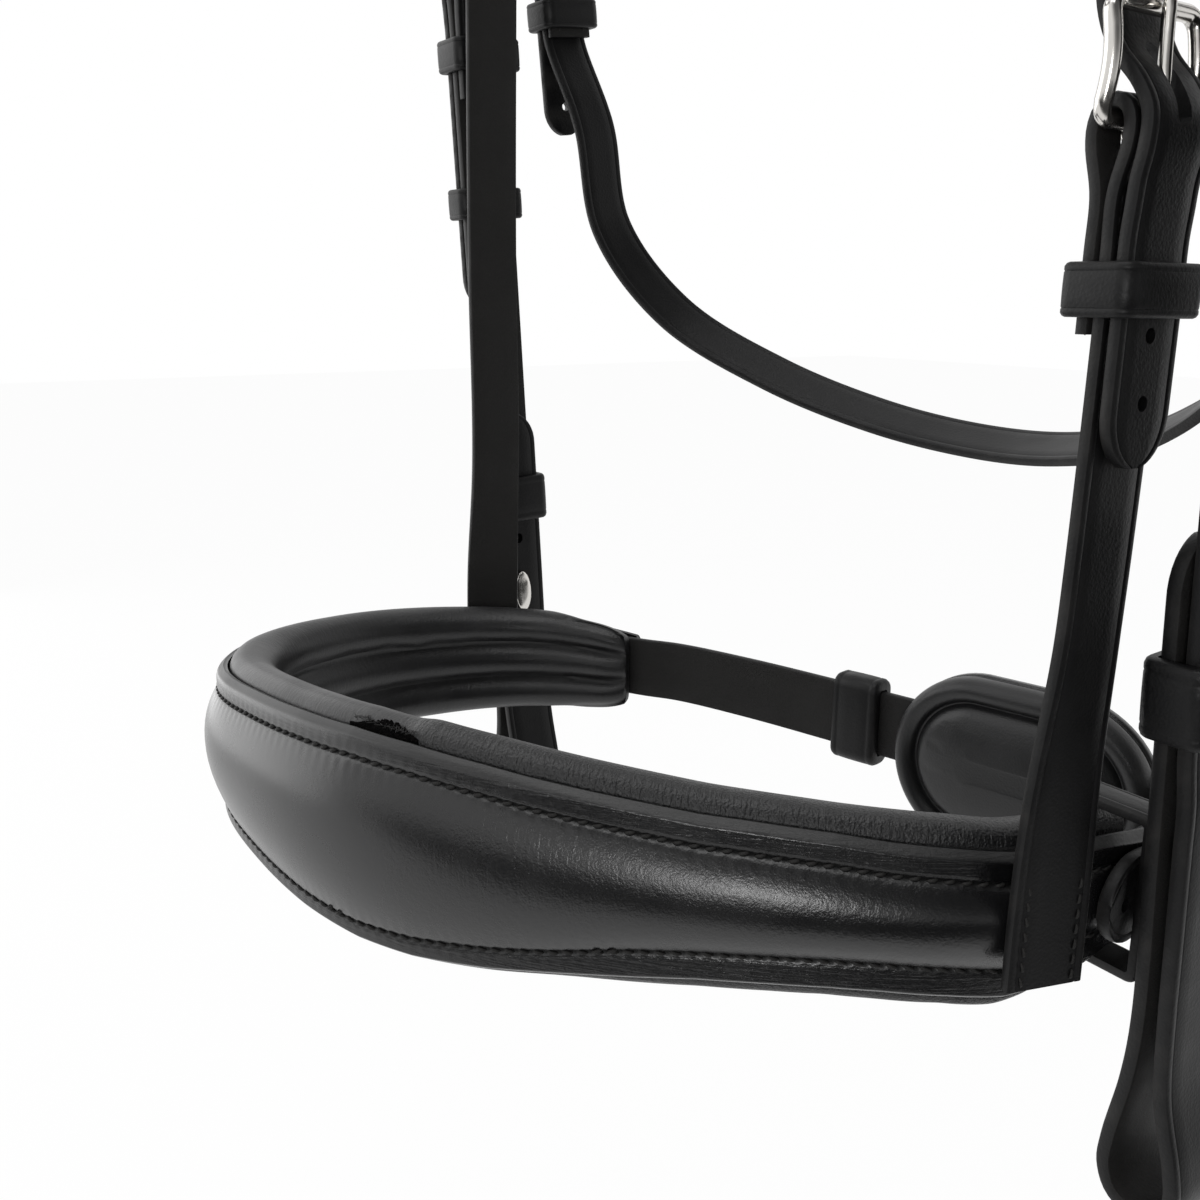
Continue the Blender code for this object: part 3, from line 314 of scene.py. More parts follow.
def guide_at(s):
    """Point, outward normal and tangent at arc s from mid-nose, counted towards the near side."""
    def on_guide(x):
        return np.stack([np.interp(x % GUIDE_LENGTH, guide_arcs, guide[:, k]) for k in range(2)], -1)

    x = s + NOSE_SHIFT
    ahead = unit(on_guide(x + 0.003) - on_guide(x - 0.003))
    point = np.array([*on_guide(x), 0.0])
    return point, np.array([ahead[1], -ahead[0], 0.0]), np.array([*ahead, 0.0])


def band_half(s):
    arc, half = zip(*BAND_HEIGHTS)
    return float(np.interp(s, arc, half))


def raise_at(s):
    """How far the filler lifts the leather at arc s."""
    inside = (FILLER_END + RAISE_EASE / 2 - abs(s)) / RAISE_EASE
    return BAND_RAISE * float(np.clip(inside, 0, 1)) ** 0.7


def band_ring(s, section):
    point, normal, _ = guide_at(s)
    return [point + normal * m + UP * v for v, m in section]


def skin(name, rings, closed=False, sharp=40.0):
    """Joins rings of points, placed from the noseband's own level, into one closed skin."""
    rings = np.asarray(rings, float)
    count, around = rings.shape[:2]
    index = np.arange(count * around).reshape(count, around)
    first = index if closed else index[:-1]
    second = np.roll(index, -1, axis=0) if closed else index[1:]
    quads = np.stack([first, np.roll(first, -1, axis=1), np.roll(second, -1, axis=1), second], -1)
    faces = quads.reshape(-1, 4).tolist()
    if not closed:
        faces += [index[0][::-1].tolist(), index[-1].tolist()]
    mesh = bpy.data.meshes.new(name)
    mesh.from_pydata((rings.reshape(-1, 3) - HANG).tolist(), [], faces)
    bm = bmesh.new()
    bm.from_mesh(mesh)
    bmesh.ops.recalc_face_normals(bm, faces=bm.faces)
    bm.to_mesh(mesh)
    bm.free()
    mesh.shade_smooth()
    mesh.set_sharp_from_angle(angle=math.radians(sharp))
    return placed(name, mesh)


def fitted(obj, look, body, slot, *nodes):
    """Gives a piece its finish, the body it rides on and the nodes it stands for."""
    obj.data.materials.clear()
    obj.data.materials.append(look)
    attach(obj, body)
    if nodes:
        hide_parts(*nodes)
    return obj


def surface(name, even):
    """A new material: its shader, with the values that are even all over, and a start for others."""
    made = bpy.data.materials.new(name)
    made.use_nodes = True
    shader = made.node_tree.nodes["Principled BSDF"]
    for socket, value in even.items():
        shader.inputs[socket].default_value = value
    return made, shader, Shade(made.node_tree)


def noise(place, scale, detail, **more):
    """Cloudy noise of 0 to 1 at a place."""
    return place.node("TexNoise", values={"Vector": place, "Scale": scale, "Detail": detail, **more},
                      out="Fac")


def blend(amount, low, high):
    """A colour between two by an amount; each is (red, green, blue) or another blend."""
    low, high = [ink if isinstance(ink, Shade) else (*ink, 1) for ink in (low, high)]
    return amount.node("Mix", {"data_type": "RGBA"}, {"Factor": amount, 6: low, 7: high}, out=2)


def embossed(shader, height, depth, strength=1.0):
    """Lets a height roughen the shader's surface."""
    relief = height.node("Bump", values={"Height": height, "Strength": strength, "Distance": depth})
    relief.feed(shader, "Normal")


felt, shader, cloth = surface("felt", {"Roughness": 0.95})
fibres = noise(cloth.node("TexCoord", out="Object"), 1800.0, 5.0)
blend(fibres, (0.020, 0.019, 0.018), (0.060, 0.057, 0.053)).feed(shader, "Base Color")
embossed(shader, fibres, 0.0003, 0.6)


def filler_section(s):
    half = (band_half(s) - STITCH_MARGIN) * FILLER_CUT - FILLER_SLACK
    lift = max(raise_at(s) - 2 * GAP, 0.0002)
    top = [(half * k, GAP * 0.4 + lift * (1 - abs(k) ** 2.2) * 0.93)
           for k in np.linspace(0.99, -0.99, 15)]
    return top + [(-half * 0.99, -GAP * 0.2), (half * 0.99, -GAP * 0.2)]


filler = skin("noseband_felt", [band_ring(s, filler_section(s)) for s in
                                np.linspace(-FILLER_END + 0.001, FILLER_END - 0.001, 160)])
fitted(filler, felt, "headstall", "filler", "noseband_filler")


# Noseband padding: soft grained leather sewn over foam, with three rolls on the inner face. Air
# pressure swells it between the seams that hold it down. It stands past the front leather at the
# top and bottom, and its grained cover starts a little to the near side of the nose.
OFF = -1
NEAR = 1
EDGE_SHIFTS = {1: [(-0.060, 0.0), (-0.020, 0.0004), (0.060, 0.0002), (0.100, 0.0010), (0.115, 0.0010),
                   (0.124, 0.0004), (0.135, 0.0), (0.145, -0.0007), (0.156, -0.0003), (0.167, 0.0)],
               -1: [(0.105, 0.0), (0.115, 0.0002), (0.124, 0.0006), (0.135, 0.0016), (0.145, 0.0030),
                    (0.156, 0.0024), (0.167, 0.0)]}
BAND_END = {OFF: 0.196, NEAR: 0.178}
PADDING_OVERHANG = 0.0032
LOW_OVERHANG = 0.0042
PADDING_THICK = 0.0118
ROLL_DEPTH = 0.0030
COVER_START = 0.0345
PADDING_CELL = 0.0021
PADDING_AROUND = 48
PADDING_GIRTH = 0.09
PADDING_AIR = 90.0
MOST_SWELL = 0.0012
GRAIN = 0.00050
GRAIN_DEPTH = 0.00022


def edge_at(s, row):
    """Distance of the leather's top edge (row 1) or bottom edge (row -1) from mid-height."""
    arc, shift = zip(*EDGE_SHIFTS[row])
    return band_half(s) + float(np.interp(s, arc, shift))


def step_up(x, low, high):
    t = np.clip((x - low) / (high - low), 0, 1)
    return t * t * (3 - 2 * t)


def resampled(section, count):
    """A closed section as a smooth curve with count points at an even spacing."""
    fine = smooth_loop(section, 0.0004)
    return evenly(fine, arcs(fine)[-1] / count)[:-1]


def padding_section(s):
    """Soft backing at arc s: an outer face under the leather and three rolls on the inner face."""
    left = min(s + BAND_END[OFF], BAND_END[NEAR] - s) + 0.001
    end = math.sqrt(max(0.0, 1 - max(0.0, 1 - left / 0.010) ** 2))
    middle = step_up(s, 0.060, 0.095) * (1 - step_up(s, 0.145, 0.162))
    rim_end = 0.72 + 0.28 * end
    high = (band_half(s) + min(0.0, edge_at(s, 1) - band_half(s)) + PADDING_OVERHANG) * rim_end
    low = (edge_at(s, -1) + PADDING_OVERHANG + (LOW_OVERHANG - PADDING_OVERHANG) * middle) * rim_end
    back = -GAP - 0.0030 * float(np.clip((0.026 - left) / 0.010, 0, 1))
    thinned = 1 - 0.25 * float(np.clip((0.070 - left) / 0.070, 0, 1))
    thick = PADDING_THICK * (0.45 + 0.55 * end) * thinned
    depth = ROLL_DEPTH * end
    upper = [(0.80, back), (0.90, back - 0.0004), (0.975, back - 0.0018), (1.0, back - 0.0042),
             (0.955, -thick * 0.68)]
    lower = [(0.80, back), (0.92, back - 0.0001), (0.985, back - 0.0010), (1.0, back - 0.0030),
             (0.965, -thick * 0.66)]
    rolls = [(v, -thick + depth * drop) for v, drop in
             ((0.86, 0.50), (0.74, 0.12), (0.62, 0.0), (0.51, 0.20), (0.42, 0.72), (0.34, 1.0),
              (0.26, 0.72), (0.17, 0.22), (0.07, 0.0))]
    points = [(v * high, m) for v, m in upper + rolls] + [(0.0, -thick)]
    points += [(-v * low, m) for v, m in (lower + rolls)[::-1]]
    points += [(-0.4 * low, back), (0.0, back), (0.4 * high, back)]
    cover = 0.0008 * step_up(s, COVER_START - 0.002, COVER_START + 0.004) - 0.0003
    section = []
    for v, m in resampled(points, PADDING_AROUND):
        rim = step_up(v / high, 0.72, 0.95)
        front = step_up(m, -0.0090, -0.0030)
        section.append((v + rim * cover, m + rim * front * 0.5 * cover))
    return section


def swollen(obj, held, pressure, most, frames=20):
    """Swells a padded piece with air: its held points stay, and none moves further than most."""
    rest = np.array([v.co[:] for v in obj.data.vertices])
    obj.vertex_groups.new(name="held").add([int(i) for i in held], 1.0, "REPLACE")
    air = obj.modifiers.new("air", "CLOTH")
    air.settings.vertex_group_mass = "held"
    air.settings.quality = 6
    air.settings.mass = 0.02
    air.settings.tension_stiffness = 12.0
    air.settings.compression_stiffness = 12.0
    air.settings.shear_stiffness = 5.0
    air.settings.bending_stiffness = 0.5
    air.settings.use_pressure = True
    air.settings.uniform_pressure_force = pressure
    air.settings.effector_weights.gravity = 0.0
    air.point_cache.frame_end = frames
    for frame in range(1, frames + 1):
        bpy.context.scene.frame_set(frame)
    shape = obj.evaluated_get(bpy.context.evaluated_depsgraph_get()).data
    moved = np.array([v.co[:] for v in shape.vertices]) - rest
    far = np.linalg.norm(moved, axis=1, keepdims=True)
    moved *= np.minimum(1.0, most / np.maximum(far, 1e-9))
    obj.modifiers.remove(air)
    obj.vertex_groups.clear()
    obj.data.vertices.foreach_set("co", (rest + moved).ravel())
    bpy.context.scene.frame_set(1)
    obj.data.update()


def smoothed(obj):
    rounder = obj.modifiers.new("rounder", "SUBSURF")
    rounder.levels = 1
    rounder.render_levels = 1


def note(obj, name, values):
    """Notes a number or a vector on each point of a piece, for its finish to read."""
    kind, key = ("FLOAT_VECTOR", "vector") if np.ndim(values) > 1 else ("FLOAT", "value")
    obj.data.attributes.new(name, kind, "POINT").data.foreach_set(key, np.ravel(values))


def lay(obj, rings_at, across_at):
    """Notes on each point how far along and across its strap it lies, for the grain's direction."""
    spots = np.zeros((len(rings_at), len(across_at), 3))
    spots[..., 0] = np.asarray(rings_at)[:, None]
    spots[..., 1] = np.asarray(across_at)[None, :]
    note(obj, "lie", spots)


def noted(shade, name, out="Fac"):
    return shade.node("Attribute", {"attribute_name": name}, out=out)


def part(vector, axis):
    """One of a vector's three numbers."""
    return vector.node("SeparateXYZ", values={0: vector}, out=axis)


def drawn_out(vector, factors):
    """A place with each axis times a factor: what it feeds is longer where the factor is small."""
    return vector.node("VectorMath", {"operation": "MULTIPLY"}, {0: vector, 1: factors})


soft_leather, shader, hide = surface("soft_leather", {"Specular IOR Level": 0.42, "Coat Weight": 0.05,
                                                      "Coat Roughness": 0.32})
place = hide.node("TexCoord", out="Object")
lie = noted(hide, "lie", "Vector")
pebbles = hide.node("TexVoronoi", {"feature": "SMOOTH_F1"},
                    {"Vector": place, "Scale": 1 / GRAIN, "Smoothness": 0.4}, out="Distance")
fine = noise(place, 0.9 / GRAIN, 6.0, Roughness=0.62)
mottle = noise(place, 70.0, 3.0).eased(0.35, 0.68)
tone = mottle * 0.5 + fine * 0.5
blend(tone, (0.0045, 0.0045, 0.0050), (0.0105, 0.0105, 0.0110)).feed(shader, "Base Color")
(tone * 0.16 + 0.36).feed(shader, "Roughness")
folds = noise(drawn_out(lie, (1.0, 0.24, 1.0)), 1150.0, 3.0, Distortion=0.4).eased(0.40, 0.62)
height = pebbles * 0.6 + fine * 0.4 + mottle * 0.3 + folds * 0.42
embossed(shader, height * (part(lie, "X").eased(0.028, 0.038) * 0.75 + 0.25), GRAIN_DEPTH)

padding_arcs = [-BAND_END[OFF] + d for d in (0.0002, 0.0008, 0.0018, 0.0034)]
padding_arcs += list(np.arange(-BAND_END[OFF] + 0.0055, BAND_END[NEAR] - 0.0050, PADDING_CELL))
padding_arcs += [BAND_END[NEAR] - d for d in (0.0034, 0.0018, 0.0008, 0.0002)]
sections = [padding_section(s) for s in padding_arcs]
padding = skin("noseband_soft_backing",
               [band_ring(s, section) for s, section in zip(padding_arcs, sections)])
lay(padding, padding_arcs, np.linspace(0, PADDING_GIRTH, PADDING_AROUND))
held = []
for i, (s, section) in enumerate(zip(padding_arcs, sections)):
    top = max(v for v, _ in section)
    for j, (v, m) in enumerate(section):
        under_leather = m > -0.0045 and abs(v) < top * 0.86
        in_seam = m < -0.004 and 0.29 < abs(v) / top < 0.39
        if under_leather or in_seam or i < 4 or i > len(padding_arcs) - 5:
            held.append(i * PADDING_AROUND + j)
swollen(padding, held, PADDING_AIR, MOST_SWELL)
smoothed(padding)
fitted(padding, soft_leather, "headstall", "soft_leather", "noseband_padding")


# Torn lining: along 18 mm of its upper edge the padding has come open, and the matted cloth that
# lines it shows as a ragged, dark lip with loose fibres. Nothing holds it but the seam below.
TORN = (0.0280, 0.0088)
FIBRES = 60
FIBRE_HALF = 0.00007
FIBRE_REACH = 0.0009


def hump(x, middle, reach):
    """1 in the middle, falling smoothly to 0 at reach on both sides."""
    t = np.clip(1 - np.abs(x - middle) / reach, 0, 1)
    return t * t * (3 - 2 * t)


lining, shader, weave = surface("torn_lining", {"Roughness": 0.95, "Specular IOR Level": 0.05})
lint = noise(weave.node("TexCoord", out="Object"), 2600.0, 5.0)
shade = blend(lint.eased(0.45, 0.75), (0.0003, 0.0003, 0.0003), (0.006, 0.005, 0.005))
shade.feed(shader, "Base Color")
embossed(shader, lint, 0.0004)
chance = np.random.default_rng(7)
rings = []
for s in np.linspace(TORN[0] - TORN[1], TORN[0] + TORN[1], 90):
    open_here = float(hump(s, TORN[0] + 0.001, TORN[1])) ** 0.8
    ragged = open_here * chance.uniform(0.72, 1.12)
    lip = edge_at(s, 1)
    rings.append(band_ring(s, [(lip - 0.0012, -0.0001), (lip + 0.0001, -0.0003),
                               (lip + 0.0002 + 0.0010 * open_here, -0.0003 - 0.0007 * open_here),
                               (lip + 0.0003 + 0.0018 * ragged, -0.0004 - 0.0016 * ragged),
                               (lip + 0.0014 * ragged, -0.0012 - 0.0016 * ragged),
                               (lip - 0.0012, -0.0014)]))
torn = skin("torn_lining_edge", rings)
fitted(torn, lining, "headstall", "soft_leather")
hairs = []
for _ in range(FIBRES):
    s = TORN[0] + TORN[1] * chance.uniform(-0.85, 0.95)
    point, normal, ahead = guide_at(s)
    lip = edge_at(s, 1)
    start = point + normal * chance.uniform(-0.0018, 0.0) + UP * (lip + 0.0014)
    lean = unit(np.array([*chance.normal(0, 1.0, 2), abs(chance.normal(0, 0.35))]))
    hairs.append((start, lean))


# Noseband front leather: one piece of smooth dressed leather, moulded over the felt. It is sewn
# down along two rows, a stitch margin in from its edges. The sewing has drawn its surface into
# fine streaks there, and its dyed edges are bevelled.
BAND_THICK = 0.0027
STITCH_PITCH = 0.00285
LEATHER_STEP = STITCH_PITCH / 6
GROOVE_DEPTH = {1: 0.00026, -1: 0.00016}
GROOVE_HALF = 0.00070
HOLE_DEPTH = 0.00060
HOLE_HALF = 0.0007
THREAD_PULL = 0.00013
THREAD_PULL_REACH = 0.0026
TOP_MARGIN = 0.0054
LOW_MARGINS = [(-0.100, 0.0054), (-0.030, 0.0034), (0.020, 0.0034), (0.040, 0.0040), (0.065, 0.0045),
               (0.080, 0.0054)]
TOP_BEVEL = 0.0015
TOP_BEVEL_FALL = 0.0018
SOFT_EDGE = 0.0034
LOW_BEVEL = 0.0006
LOW_BEVEL_FALL = 0.0006


def row_at(s, row):
    """Distance of a row of stitches from the middle of the band's height."""
    if row > 0:
        return edge_at(s, 1) - TOP_MARGIN
    arc, margin = zip(*LOW_MARGINS)
    return edge_at(s, -1) - float(np.interp(s, arc, margin))


def leather_heights(s, across):
    """Outer face of the leather at arc s, for distances across it: margin, groove, raised middle; and a
    mask of painted shade.
    """
    half = np.where(across > 0, edge_at(s, 1), edge_at(s, -1))
    inner = np.where(across > 0, row_at(s, 1), row_at(s, -1))
    lift = raise_at(s)
    k = np.abs(across)
    height = BAND_THICK + lift * (1 - np.clip(k / inner, 0, 1) ** 2.1)
    sunk_row = np.where(across > 0, GROOVE_DEPTH[1], GROOVE_DEPTH[-1])
    groove = np.clip(1 - np.abs(k - inner) / GROOVE_HALF, 0, 1) ** 0.8
    crisp = float(step_up(s, 0.045, 0.085))
    bevel = np.where(across > 0, TOP_BEVEL, LOW_BEVEL)
    fall = np.where(across > 0, TOP_BEVEL_FALL, LOW_BEVEL_FALL)
    edge = np.clip((k - (half - bevel)) / bevel, 0, 1) ** 1.3
    soft = np.clip((k - (half - SOFT_EDGE)) / SOFT_EDGE, 0, 1) ** 3.0
    drop = edge * crisp + np.where(across > 0, soft, edge) * (1 - crisp)
    height = height - sunk_row * groove - fall * drop
    phase = (s / STITCH_PITCH) % 1.0
    from_row = np.abs(k - inner)
    pull = THREAD_PULL * (0.5 + 0.5 * math.cos(2 * math.pi * phase))
    pull = pull * np.clip(1 - from_row / THREAD_PULL_REACH, 0, 1)
    hole = HOLE_DEPTH * hump(phase, 0.5, 0.26) * np.clip(1 - from_row / HOLE_HALF, 0, 1)
    # The second value is a mask of painted shade: it darkens the colour in the stitch holes, the stitch
    # grooves and on the top bevel.
    bevel_shade = np.where(across > 0, np.clip((k - (half - TOP_BEVEL)) / 0.0004, 0, 1), 0)
    return height - pull - hole, np.clip(hole / HOLE_DEPTH + 0.45 * groove + 0.50 * bevel_shade, 0, 1)


def leather_across(s):
    """Distances across the leather: close together at the groove and the edges."""
    sides = []
    for row, steps in ((1, (0.0, 0.0002, 0.0006, 0.0010, 0.0013, 0.0015, 0.0017, 0.0024)),
                       (-1, (0.0, 0.0001, 0.0002, 0.0004, 0.0006, 0.0008, 0.0012, 0.0020))):
        half = edge_at(s, row)
        inner = row_at(s, row)
        side = [half - d for d in steps]
        side += [inner + d for d in
                 (0.0013, 0.0009, 0.0006, 0.0003, 0.0, -0.0003, -0.0006, -0.0010, -0.0017)]
        sides.append(side + list((inner - 0.0017) * np.array([0.86, 0.70, 0.52, 0.35, 0.18])))
    return np.array(sides[0] + [0.0] + [-v for v in sides[1][::-1]])


leather_arcs = np.arange(-BAND_END[OFF], BAND_END[NEAR] + 1e-6, LEATHER_STEP)
rings = []
painted_shade = []
lying = []
strips = []
for s in leather_arcs:
    across = leather_across(s)
    height, shade_mask = leather_heights(s, across)
    inner = band_half(s) - STITCH_MARGIN
    backs = np.linspace(across[-1] * 0.985, across[0] * 0.985, 13)
    under = [(v, raise_at(s) * (1 - abs(v / inner) ** 2.4) if abs(v) < inner else 0.0) for v in backs]
    rings.append(band_ring(s, list(zip(across, height)) + under))
    painted_shade.append(np.concatenate([shade_mask, np.zeros(13)]))
    lying.append(np.concatenate([across, backs]))
    past_row = np.abs(across) > np.where(across > 0, row_at(s, 1), row_at(s, -1)) + 0.0010
    strips.append(np.concatenate([past_row, np.zeros(13)]))
front = skin("noseband_raised_leather", rings)
# Notes the mask of painted shade for the holes, grooves and top bevel on the leather's points.
note(front, "painted_shade", np.concatenate(painted_shade))
spots = np.zeros((len(rings), len(rings[0]), 3))
spots[..., 0] = leather_arcs[:, None]
spots[..., 1] = np.array(lying)
spots[..., 2] = np.array(strips)
note(front, "lie", spots)

smooth_leather, shader, hide = surface("smooth_leather", {"Specular IOR Level": 0.54,
                                                          "Coat Roughness": 0.22})
place = hide.node("TexCoord", out="Object")
lie = noted(hide, "lie", "Vector")
painted_shade_in = noted(hide, "painted_shade")
along = part(lie, "X")
fine = noise(place, 2600.0, 4.0)
soft = noise(place, 850.0, 3.0, Roughness=0.55)
mottle = noise(place, 60.0, 2.0).eased(0.3, 0.7)
where_creased = (along.eased(0.036, 0.052) * (1 - along.eased(0.066, 0.090))
                 * (part(lie, "Y").eased(-0.004, 0.006) * 0.75 + 0.25))
folds = noise(drawn_out(lie, (1.0, 0.11, 1.0)), 900.0, 2.0, Distortion=0.5)
wrinkles = folds.eased(0.42, 0.60) * where_creased
streaks = noise(drawn_out(lie, (0.05, 1.0, 0.0)), 2200.0, 3.0) * part(lie, "Z")
tone = mottle * 0.6 + fine * 0.4
clean = blend(tone, (0.0032, 0.0032, 0.0036), (0.0062, 0.0061, 0.0065))
# Painted shade: where the mask is high, the colour is darkened towards black, the surface rougher and
# without coat.
blend(painted_shade_in, clean, (0.0010, 0.0010, 0.0010)).feed(shader, "Base Color")
(tone * 0.08 + painted_shade_in * 0.5 + 0.225).feed(shader, "Roughness")
(0.10 - painted_shade_in * 0.10).feed(shader, "Coat Weight")
grain = (fine * 0.45 + soft * 0.65) * (along.eased(0.015, 0.060) * 0.7 + 0.3)
embossed(shader, grain + wrinkles * 0.14 + streaks * 0.9, 0.00011)
fitted(front, smooth_leather, "headstall", "smooth_leather", "noseband_front_leather")


# Noseband stitches: waxed black thread, sewn by machine through leather, felt and padding. Each
# stitch slants a little between two punched holes, and the rows overlap where the thread ends.
THREAD_ENDS = (0.0170, 0.0745)
THREAD_HALF = 0.00042
LOCK_SHIFT = 0.0004
STITCH_REACH = 0.00118
STITCH_SLANT = 0.30
STITCH_SHAPE = ((-1.0, 0.30, -0.9), (-0.72, 0.85, -0.2), (-0.3, 1.0, 0.25), (0.3, 1.0, 0.25),
                (0.72, 0.85, -0.2), (1.0, 0.30, -0.9))

thread, shader, fibre = surface("thread", {"Roughness": 0.60, "Specular IOR Level": 0.25})
twist = noise(fibre.node("TexCoord", out="Object"), 4200.0, 3.0)
blend(twist, (0.004, 0.004, 0.004), (0.018, 0.017, 0.016)).feed(shader, "Base Color")
embossed(shader, twist, 0.00008, 0.7)


def sewn(name, stitches, thick=THREAD_HALF, reach=STITCH_REACH):
    """Many stitches, each (middle, along, up): a spindle of thread that dips at its ends."""
    points = []
    faces = []
    for middle, ahead, up in stitches:
        across = np.cross(up, ahead)
        base = len(points)
        for x, swell, rise in STITCH_SHAPE:
            for turn in range(6):
                angle = math.pi * turn / 3
                points.append(middle + ahead * reach * x + across * thick * swell * math.cos(angle)
                              + up * thick * (rise + swell * 0.8 * math.sin(angle)))
        for ring in range(len(STITCH_SHAPE) - 1):
            a = base + ring * 6
            faces += [(a + k, a + (k + 1) % 6, a + 6 + (k + 1) % 6, a + 6 + k) for k in range(6)]
        faces += [tuple(range(base + 5, base - 1, -1)), tuple(range(len(points) - 6, len(points)))]
    mesh = bpy.data.meshes.new(name)
    mesh.from_pydata((np.array(points) - HANG).tolist(), [], faces)
    mesh.shade_smooth()
    return fitted(placed(name, mesh), thread, "headstall", "strap_leather")


fibre_side = np.array([0.3, 0.2, 1.0])
sewn("torn_lining_fibres", [(start, lean, np.cross(lean, unit(np.cross(lean, fibre_side))))
                            for start, lean in hairs], FIBRE_HALF, FIBRE_REACH)
for row, label in ((1, "top"), (-1, "bottom")):
    stitches = []
    for count in range(int((BAND_END[OFF] + BAND_END[NEAR] - 0.012) / STITCH_PITCH)):
        s = (math.ceil((-BAND_END[OFF] + 0.006) / STITCH_PITCH) + count) * STITCH_PITCH
        inner = row_at(s, row)
        point, normal, ahead = guide_at(s)
        slope = (row_at(s + 0.002, row) - row_at(s - 0.002, row)) / 0.004
        run = unit(ahead + UP * row * (slope + STITCH_SLANT))
        height = BAND_THICK - GROOVE_DEPTH[row] + THREAD_HALF * 0.20
        stitches.append((point + UP * row * inner + normal * height, run, normal))
        if row < 0 and min(abs(s - end) for end in THREAD_ENDS) < STITCH_PITCH:
            lock = point + UP * row * (inner - LOCK_SHIFT) + normal * (height + LOCK_SHIFT)
            stitches.append((lock, unit(ahead + UP * 0.5), normal))
    sewn("noseband_stitches_" + label, stitches)


# Chin strap: it leaves the band's off end, sewn between leather and padding, carries the chin pad,
# and ends as a punched tail that the near buckle takes. Cut from black bridle leather, its edges
# are bevelled, creased with a hot iron and dyed, and its flesh side is left matt.
STRAP_THICK = 0.0024
CHIN_WIDTH = 0.0165
CHIN_BUCKLE_ARC = 0.1860
CHIN_TAIL = 0.026
CHIN_HOLES = (0.0125, 0.0205)
FOLD_GAP = 0.0006
BAR_RADIUS = 0.0013
BUCKLE_LENGTH = 0.016
ROLLER_RADIUS = 0.0023
BEVEL = 0.0006
EDGE_CREASE = 0.0017
EDGE_CREASE_DEPTH = 0.00013
STRAP_STEP = 0.0012
HOLE_RADIUS = 0.0013
SLOT_HALF_LENGTH = 0.00605
SLOT_HALF_WIDTH = 0.0017
PUNCH_DEPTH = 0.0062
PUNCH_SIDES = 20
CUT_SHARP = 38


def bends(points, spacing):
    """Route through the points that stays straight where four of them are in line."""
    p = np.array(points, float)
    p = np.vstack([2 * p[0] - p[1], p, 2 * p[-1] - p[-2]])
    fine = []
    for a, b, c, d in zip(p[:-3], p[1:-2], p[2:-1], p[3:]):
        t1 = np.linalg.norm(b - a) ** 0.5
        t2 = t1 + np.linalg.norm(c - b) ** 0.5
        t3 = t2 + np.linalg.norm(d - c) ** 0.5
        for t in np.linspace(t1, t2, 20, endpoint=False):
            ab = a + (b - a) * t / t1
            bc = b + (c - b) * (t - t1) / (t2 - t1)
            cd = c + (d - c) * (t - t2) / (t3 - t2)
            left = ab + (bc - ab) * t / t2
            right = bc + (cd - bc) * (t - t1) / (t3 - t1)
            fine.append(left + (right - left) * (t - t1) / (t2 - t1))
    fine.append(p[-2])
    return evenly(np.array(fine), spacing)


def tangents(route):
    return unit(np.gradient(route, axis=0))


class Spot:
    """A place on a strap: x runs along it, y across it and z outwards."""

    def __init__(self, origin, x, z):
        self.o = np.array(origin, float)
        self.x = unit(np.array(x, float))
        z = np.array(z, float)
        self.z = unit(z - np.dot(z, self.x) * self.x)
        self.y = np.cross(self.z, self.x)

    def at(self, x, z, y=0.0):
        return self.o + self.x * x + self.y * y + self.z * z

    def moved(self, x, z=0.0):
        return Spot(self.at(x, z), self.x, self.z)


def guide_spot(s, out=0.0):
    point, normal, ahead = guide_at(s)
    return Spot(point + normal * out, ahead, normal)


def strap_section(half, thick):
    """Cross-section of a strap with (across, outward, edge, flesh) for each point."""
    t = thick / 2
    e = min(BEVEL, half * 0.4)
    k = min(EDGE_CREASE, half * 0.6)
    side = [(half, 0.0, 1, 0), (half - 0.05 * e, t - e, 1, 0), (half - 0.35 * e, t - 0.3 * e, 0.8, 0),
            (half - e, t, 0.3, 0), (half - k + 0.0003, t, 0, 0),
            (half - k, t - EDGE_CREASE_DEPTH, 0.15, 0), (half - k - 0.0003, t, 0, 0),
            (half * 0.4, t, 0, 0)]
    top = side + [(-a, m, edge, flesh) for a, m, edge, flesh in side[::-1]]
    below = [(half - 0.05 * e, e - t, 1, 0.3), (half - 0.35 * e, 0.3 * e - t, 0.8, 0.7),
             (half - e, -t, 0.3, 1), (half * 0.4, -t, 0, 1)]
    return top + [(-a, m, edge, flesh) for a, m, edge, flesh in below] + below[::-1]


def outline_prism(bm, spot, half_length, half_width, depth):
    """A straight punch with rounded ends, through a strap at spot."""
    corners = []
    flat = half_length - half_width
    for k in range(PUNCH_SIDES):
        turn = 2 * math.pi * (k + 0.5) / PUNCH_SIDES
        x = half_width * math.cos(turn) + (flat if math.cos(turn) > 0 else -flat)
        corners.append((x, half_width * math.sin(turn)))
    low = [bm.verts.new(spot.at(x, -depth, y) - HANG) for x, y in corners]
    high = [bm.verts.new(spot.at(x, depth, y) - HANG) for x, y in corners]
    bm.faces.new(low[::-1])
    bm.faces.new(high)
    for k in range(PUNCH_SIDES):
        j = (k + 1) % PUNCH_SIDES
        bm.faces.new((low[k], low[j], high[j], high[k]))


def carved(obj, tool, operation):
    """Cuts or joins a tool's mesh with a piece, and keeps the result as the piece's mesh."""
    cutter = obj.modifiers.new("cutter", "BOOLEAN")
    cutter.operation = operation
    cutter.solver = "EXACT"
    cutter.object = tool
    made = bpy.data.meshes.new_from_object(obj.evaluated_get(bpy.context.evaluated_depsgraph_get()))
    obj.modifiers.remove(cutter)
    old = obj.data
    made.name = old.name
    obj.data = made
    bpy.data.meshes.remove(old)
    bpy.data.objects.remove(tool)
    made.shade_smooth()
    made.set_sharp_from_angle(angle=math.radians(CUT_SHARP))


